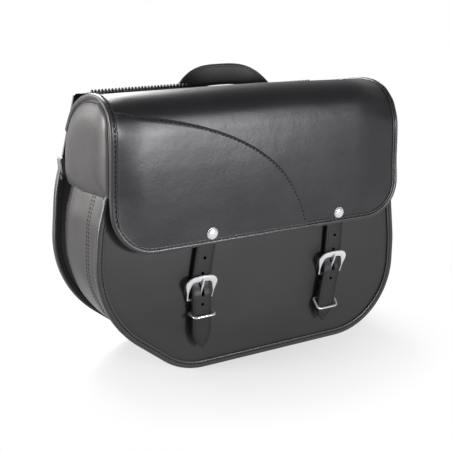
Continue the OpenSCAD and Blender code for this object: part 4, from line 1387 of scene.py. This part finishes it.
TIP_REACH = 21.0
strap_slots = [BAR_H + 44.75, BAR_H + 28.25, BAR_H - 4.75]
for side, word in ((-1, "left"), (1, "right")):
    stations = list(np.arange(0, STRAP_LEN - 22, 2.0)) + list(STRAP_LEN - 22 * (1 - np.linspace(0, 1, 26)) ** 1.3)
    sections = []
    for s in stations:
        half = max(tip_half(s), 0.25)
        ring = strap_ring(half, STRAP_T)
        sections.append([place(*strap_point(side, u, s, o)) for u, o in ring])
    strap = swept(f"strap_leather_{word}", sections, STRAP_MAT, sharp=60)
    cutters = [peg(strap_c(side, h), h, 1.9, -145, -124) for h in strap_slots]
    slot_cut = extrude_x(
        "cutter", [(-145, BAR_H + 4), (-145, BAR_H + 15.5), (-124, BAR_H + 15.5), (-124, BAR_H + 4)],
        buckle_c(side) - 2.3, buckle_c(side) + 2.3, STRAP_MAT, 0.01,
    )
    slot_cut.modifiers.clear()
    cut(strap, cutters + [slot_cut])
    rows = []
    line_in = 2.9
    outline = [(STRAP_HALF - line_in, s) for s in np.arange(8, STRAP_LEN - 26, 2.0)]
    tip_s = STRAP_LEN - 1.4 * line_in - TIP_REACH * (1 - np.linspace(0, 1, 20)) ** 1.3
    outline += [(tip_half(s, line_in), s) for s in tip_s]
    outline += [(-u, s) for u, s in outline[::-1]]
    points = [strap_point(side, u, s, STRAP_T / 2 + 0.16) for u, s in outline]
    front_dir = [strap_point(side, u, s, 3) - strap_point(side, u, s, 2) for u, s in outline]
    rows.append(stitches("strap_row", points, front_dir, THREAD_MAT, pitch=3.6, length=2.7, radius=0.38))
    strap = join(f"strap_leather_{word}", [strap] + rows)
    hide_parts(f"strap_{word}", f"strap_root_{word}")
    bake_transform(strap)

    # The chape: a folded leather strip round the buckle bar, behind the strap.
    chape_low, chape_high = node_box(f"chape_{word}")
    front_ply, rear_ply = chape_low[1] + 0.1, chape_low[1] + 3.4
    keeper_y, keeper_h = FRONT_FACE - 2.9, KEEPER_H[side]
    bar_x = buckle_c(side)
    outline = [(rear_ply, 40.5), (front_ply, 40.5), (front_ply, BAR_H - 3.0)]
    for a in np.linspace(190, -10, 12):
        outline.append((BAR_Y + 3.3 * math.cos(math.radians(a)), BAR_H + 3.3 * math.sin(math.radians(a))))
    outline += [(BAR_Y + 3.0, BAR_H - 2.4), (rear_ply + 0.8, BAR_H - 8)]
    for a in np.linspace(70, -70, 7):
        outline.append((keeper_y + 2.5 * math.cos(math.radians(a)), keeper_h + 2.5 * math.sin(math.radians(a))))
    outline.append((rear_ply, keeper_h - 5))
    chape = extrude_x(f"chape_leather_{word}", outline, bar_x - 9.75, bar_x + 9.75, EDGE_MAT, 0.5)
    cutters = []
    for y, h, r in ((BAR_Y, BAR_H, 1.78), (keeper_y, keeper_h, 1.28)):
        cutters.append(
            lathe("cutter", [(0, -20), (r, -20), (r, 20), (0, 20)], (chape_c(side, h), y, h), (1, 0, 0), EDGE_MAT, 20)
        )
    prong_gap = extrude_x(
        "cutter", [(-145, BAR_H - 4.4), (-145, BAR_H + 6), (-122, BAR_H + 6), (-122, BAR_H - 4.4)],
        bar_x - 2.3, bar_x + 2.3, EDGE_MAT, 0.01,
    )
    prong_gap.modifiers.clear()
    socket_gap = peg(strap_c(side, SNAP_H[side]), SNAP_H[side], 2.1, -145, -120)
    apply_modifiers(chape)
    for v in chape.data.vertices:
        v.co.x += (chape_c(side, (v.co.z - FLOOR_Z) / MM) - bar_x) * MM
    cut(chape, cutters + [prong_gap, socket_gap])
    finish_piece(chape, f"strap_{word}", "edge_leather", f"chape_{word}")

    # Half buckle: broad bevelled arch, tapering legs, straight bar; it leans forward over the strap.
    lean = math.radians(17.0)
    corner = 7.0
    skeleton = [(-14.6, -0.9), (-15.0, 4.0), (-15.4, 10.0), (-15.5, 16.8)]
    for a in np.linspace(172, 98, 10):
        skeleton.append((-15.5 + corner + corner * math.cos(math.radians(a)), 17.4 + corner * math.sin(math.radians(a))))
    skeleton += [(-4.0, 24.8), (0.0, 24.9)]
    skeleton += [(-u, z) for u, z in skeleton[-2::-1]]
    frame_line = resample(skeleton, step=0.9)
    for _ in range(5):
        frame_line[1:-1] = (frame_line[:-2] + 2 * frame_line[1:-1] + frame_line[2:]) / 4
    frame_n = left_normals(frame_line)
    sections = []
    for (u, z), (nu, nz) in zip(frame_line, frame_n):
        rise = float(smooth_step((z - 6.0) / 15.0))
        width = 0.95 + 3.0 * rise
        thick = 1.2 + 0.4 * rise
        ring = []
        # Ridge and bevels on the front, soft back.
        for a, b in ((-1.0, -0.1), (-0.86, 0.55), (-0.45, 0.78), (-0.12, 1.0), (0.12, 1.0), (0.45, 0.78),
                     (0.86, 0.55), (1.0, -0.1), (0.82, -0.75), (0.3, -0.95), (-0.3, -0.95), (-0.82, -0.75)):
            across, out = a * width, b * thick
            uu, zz = u + nu * across, z + nz * across
            y = -math.sin(lean) * zz - math.cos(lean) * out
            h = math.cos(lean) * zz - math.sin(lean) * out
            ring.append(place(bar_x + uu, BAR_Y + y, BAR_H + h))
        sections.append(ring)
    arch = swept(f"buckle_arch_{word}", sections, CHROME_MAT, sharp=75)
    bar = lathe(
        f"buckle_bar_{word}",
        [(0, -15.0), (0.8, -15.0), (1.1, -14.5), (1.7, -11.6), (1.7, 11.6), (1.1, 14.5), (0.8, 15.0), (0, 15.0)],
        (bar_x, BAR_Y, BAR_H), (1, 0, 0), CHROME_MAT, 24,
    )
    buckle = join(f"buckle_chrome_{word}", [arch, bar])
    subdivide = buckle.modifiers.new("soften", "SUBSURF")
    subdivide.levels = 1
    subdivide.render_levels = 1
    apply_modifiers(buckle)
    finish_piece(buckle, f"buckle_{word}", "chrome", f"buckle_frame_{word}")

    # Prong: a tapering round rod that grips the bar and rests on the arch.
    prong_path = [(-0.6, 2.2), (-2.2, 6.0), (-4.4, 10.6), (-6.8, 15.2), (-8.9, 19.4), (-10.1, 22.6), (-10.6, 24.4)]
    prong_path = resample(prong_path, step=1.0)
    prong_3d = [(bar_x, BAR_Y + y, BAR_H + z) for y, z in prong_path]
    radii = np.linspace(1.45, 1.0, len(prong_3d))
    radii[-1] = 0.55
    rod = tube("rod", prong_3d, radii, CHROME_MAT, sides=14)
    eye = lathe(
        "eye", [(1.76, -1.5), (2.9, -1.6), (3.2, -1.0), (3.2, 1.0), (2.9, 1.6), (1.76, 1.5)],
        (bar_x, BAR_Y, BAR_H), (1, 0, 0), CHROME_MAT, 28,
    )
    finish_piece(join(f"prong_chrome_{word}", [rod, eye]), f"prong_{word}", "chrome", f"buckle_prong_{word}")

    # Wire keeper with rounded corners.
    tilt = math.radians(5.0 if side < 0 else 44.0)
    half, reach, r = STRAP_HALF + (1.5 if side < 0 else 2.1), 14.8, 4.2
    keeper_x = strap_c(side, keeper_h - 2)
    corners = [(half, 0, 2.0), (-half, 0, 2.0), (-half, -reach, r), (half, -reach, r)]
    loop = resample(rounded_loop(corners, 0.0, 1.0), step=1.4, closed=True)
    wire = []
    for u, v in loop:
        y, z = v * math.cos(tilt), v * math.sin(tilt)
        wire.append((keeper_x + u, keeper_y + y, keeper_h + z))
    keeper = tube(f"keeper_chrome_{word}", wire, 1.2, CHROME_MAT, sides=12, closed=True)
    finish_piece(keeper, f"keeper_{word}", "chrome", f"keeper_{word}")

    # Domed rivet cap on the flap, with a thin flange.
    rivet_s = s_of_height(RIVET_H)
    lift = OVERLAY_T if side < 0 else 0.0
    rivet_x = strap_c(side, RIVET_H) - LID_X
    foot = lid_point(rivet_x, rivet_s, lift)
    out = lid_point(rivet_x, rivet_s, lift + 1.0) - foot
    dome = [(0, -6.0), (1.9, -6.0), (1.9, -0.2), (6.0, -0.2), (6.35, 0.15), (6.3, 0.5)]
    for a in np.linspace(0, 90, 9):
        dome.append((5.9 * math.cos(math.radians(a)), 0.55 + 1.75 * math.sin(math.radians(a))))
    cap = lathe(f"rivet_cap_{word}", dome, foot, out, CHROME_MAT, 48)
    finish_piece(cap, "lid", "chrome")

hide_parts("flap_rivets")

# Small pale folded tabs at the upper ends of the back binding.
tabs = []
for side in (-1, 1):
    x0 = x_at(back_loop, BINDING_TOP + 6, side)
    corners = [
        (x0 + side * 1.5, BINDING_TOP - 9, 2), (x0 + side * -4.5, BINDING_TOP - 9, 2),
        (x0 + side * -2.4, BINDING_TOP + 11, 2), (x0 + side * 2.6, BINDING_TOP + 8, 2),
    ]
    loop = resample(rounded_loop(corners if side < 0 else corners[::-1], 0.0, 1.0), count=48, closed=True)
    tabs.append(
        ring_sheet("tab", loop, GUSSET_REAR - 5.2, BACK_REAR + 1.6, GREY_MAT, rings=6,
                   relief=lambda x, h, t: 0.8 * smooth_step(t / 0.2))
    )
tab_piece = join("binding_tabs_leather", tabs)
finish_piece(tab_piece, "bag", "grey_leather", "flange_tabs")


# Carried-over metal parts -------------------------------------------------------------------------

for node, material, bevel in (
    ("back_plate", PLATE_MAT, 0.5), ("grommets", STEEL_MAT, 0.3), ("handle_rivets", CHROME_MAT, 0.4),
    ("cap_rivets", RIVET_MAT, 0.25), ("snap_stud_left", STEEL_MAT, 0.3), ("snap_stud_right", STEEL_MAT, 0.3),
    ("snap_socket_left", STEEL_MAT, 0.3), ("snap_socket_right", STEEL_MAT, 0.3),
):
    obj = frame["nodes"][node]
    obj.data.materials.clear()
    obj.data.materials.append(material)
    weld = obj.modifiers.new("weld", "WELD")
    weld.merge_threshold = 1e-6
    add_bevel(obj, bevel, 2, 30)


# Studio -------------------------------------------------------------------------------------------

world = bpy.data.worlds.new("studio")
world.use_nodes = True
bpy.context.scene.world = world
wn, wl = world.node_tree.nodes, world.node_tree.links
background = wn["Background"]
path = wn.new("ShaderNodeLightPath")
strength = wn.new("ShaderNodeMapRange")
strength.inputs["To Min"].default_value = 0.12
strength.inputs["To Max"].default_value = 1.0
wl.new(path.outputs["Is Camera Ray"], strength.inputs["Value"])
wl.new(strength.outputs["Result"], background.inputs["Strength"])
background.inputs["Color"].default_value = (1, 1, 1, 1)

# The floor is lit near the bag and runs out into an even white sweep.
floor_mat, fn, fl, floor_shader, floor_coords = new_material("floor_white")
floor_shader.inputs["Base Color"].default_value = (0.93, 0.93, 0.935, 1)
fl.new(ramp(fn, fl, noise_node(fn, fl, floor_coords, 3.0), 0.3, 0.7, 0.42, 0.46), floor_shader.inputs["Roughness"])
reach = fn.new("ShaderNodeVectorMath")
reach.operation = "LENGTH"
fl.new(floor_coords, reach.inputs[0])
away = ramp(fn, fl, reach.outputs["Value"], 0.20, 0.34, 0.6, 1.0)
glow = fn.new("ShaderNodeEmission")
floor_path = fn.new("ShaderNodeLightPath")
fl.new(ramp(fn, fl, floor_path.outputs["Is Camera Ray"], 0.0, 1.0, 0.62, 1.0), glow.inputs["Strength"])
sweep = fn.new("ShaderNodeMixShader")
fl.new(away, sweep.inputs["Fac"])
fl.new(floor_shader.outputs["BSDF"], sweep.inputs[1])
fl.new(glow.outputs["Emission"], sweep.inputs[2])
fl.new(sweep.outputs["Shader"], fn["Material Output"].inputs["Surface"])
floor = add_mesh(
    "floor", [(-30, -30, FLOOR_Z), (30, -30, FLOOR_Z), (30, 30, FLOOR_Z), (-30, 30, FLOOR_Z)], [(0, 1, 2, 3)], floor_mat
)


def area_light(name, place_at, aim, size, power, colour=(1, 1, 1), shape_y=None):
    data = bpy.data.lights.new(name, "AREA")
    data.energy = power
    data.color = colour
    data.shape = "RECTANGLE"
    data.size = size
    data.size_y = shape_y or size
    obj = bpy.data.objects.new(name, data)
    bpy.context.scene.collection.objects.link(obj)
    obj.location = place_at
    obj.rotation_euler = (Vector(aim) - Vector(place_at)).to_track_quat("-Z", "Y").to_euler()
    obj.visible_camera = False
    return obj


middle = (0, -0.06, 0)
area_light("left_soft", (-2.0, 0.35, 0.22), middle, 0.7, 48, (1.0, 0.98, 0.965))
area_light("back_left_soft", (-1.2, 1.5, 0.5), middle, 0.9, 14, (1.0, 0.98, 0.965))
area_light("top_soft", (0.1, 1.3, 1.2), middle, 1.1, 60, (1.0, 0.985, 0.975))
area_light("front_soft", (0.60, -1.98, 0.20), middle, 0.5, 31, (0.965, 0.965, 1.0), 0.34)

camera_data = bpy.data.cameras.new("camera")
camera_data.lens = 71.9
camera_data.sensor_width = 36
camera = bpy.data.objects.new("camera", camera_data)
bpy.context.scene.collection.objects.link(camera)
target = Vector((-0.0188, -0.0690, -0.0277))
azimuth, elevation, distance = math.radians(-30.5), math.radians(15.7), 1.030
camera.location = target + distance * Vector(
    (math.sin(azimuth) * math.cos(elevation), -math.cos(azimuth) * math.cos(elevation), math.sin(elevation))
)
camera.rotation_euler = (target - camera.location).to_track_quat("-Z", "Y").to_euler()
bpy.context.scene.camera = camera
bpy.context.scene.view_settings.view_transform = "Standard"
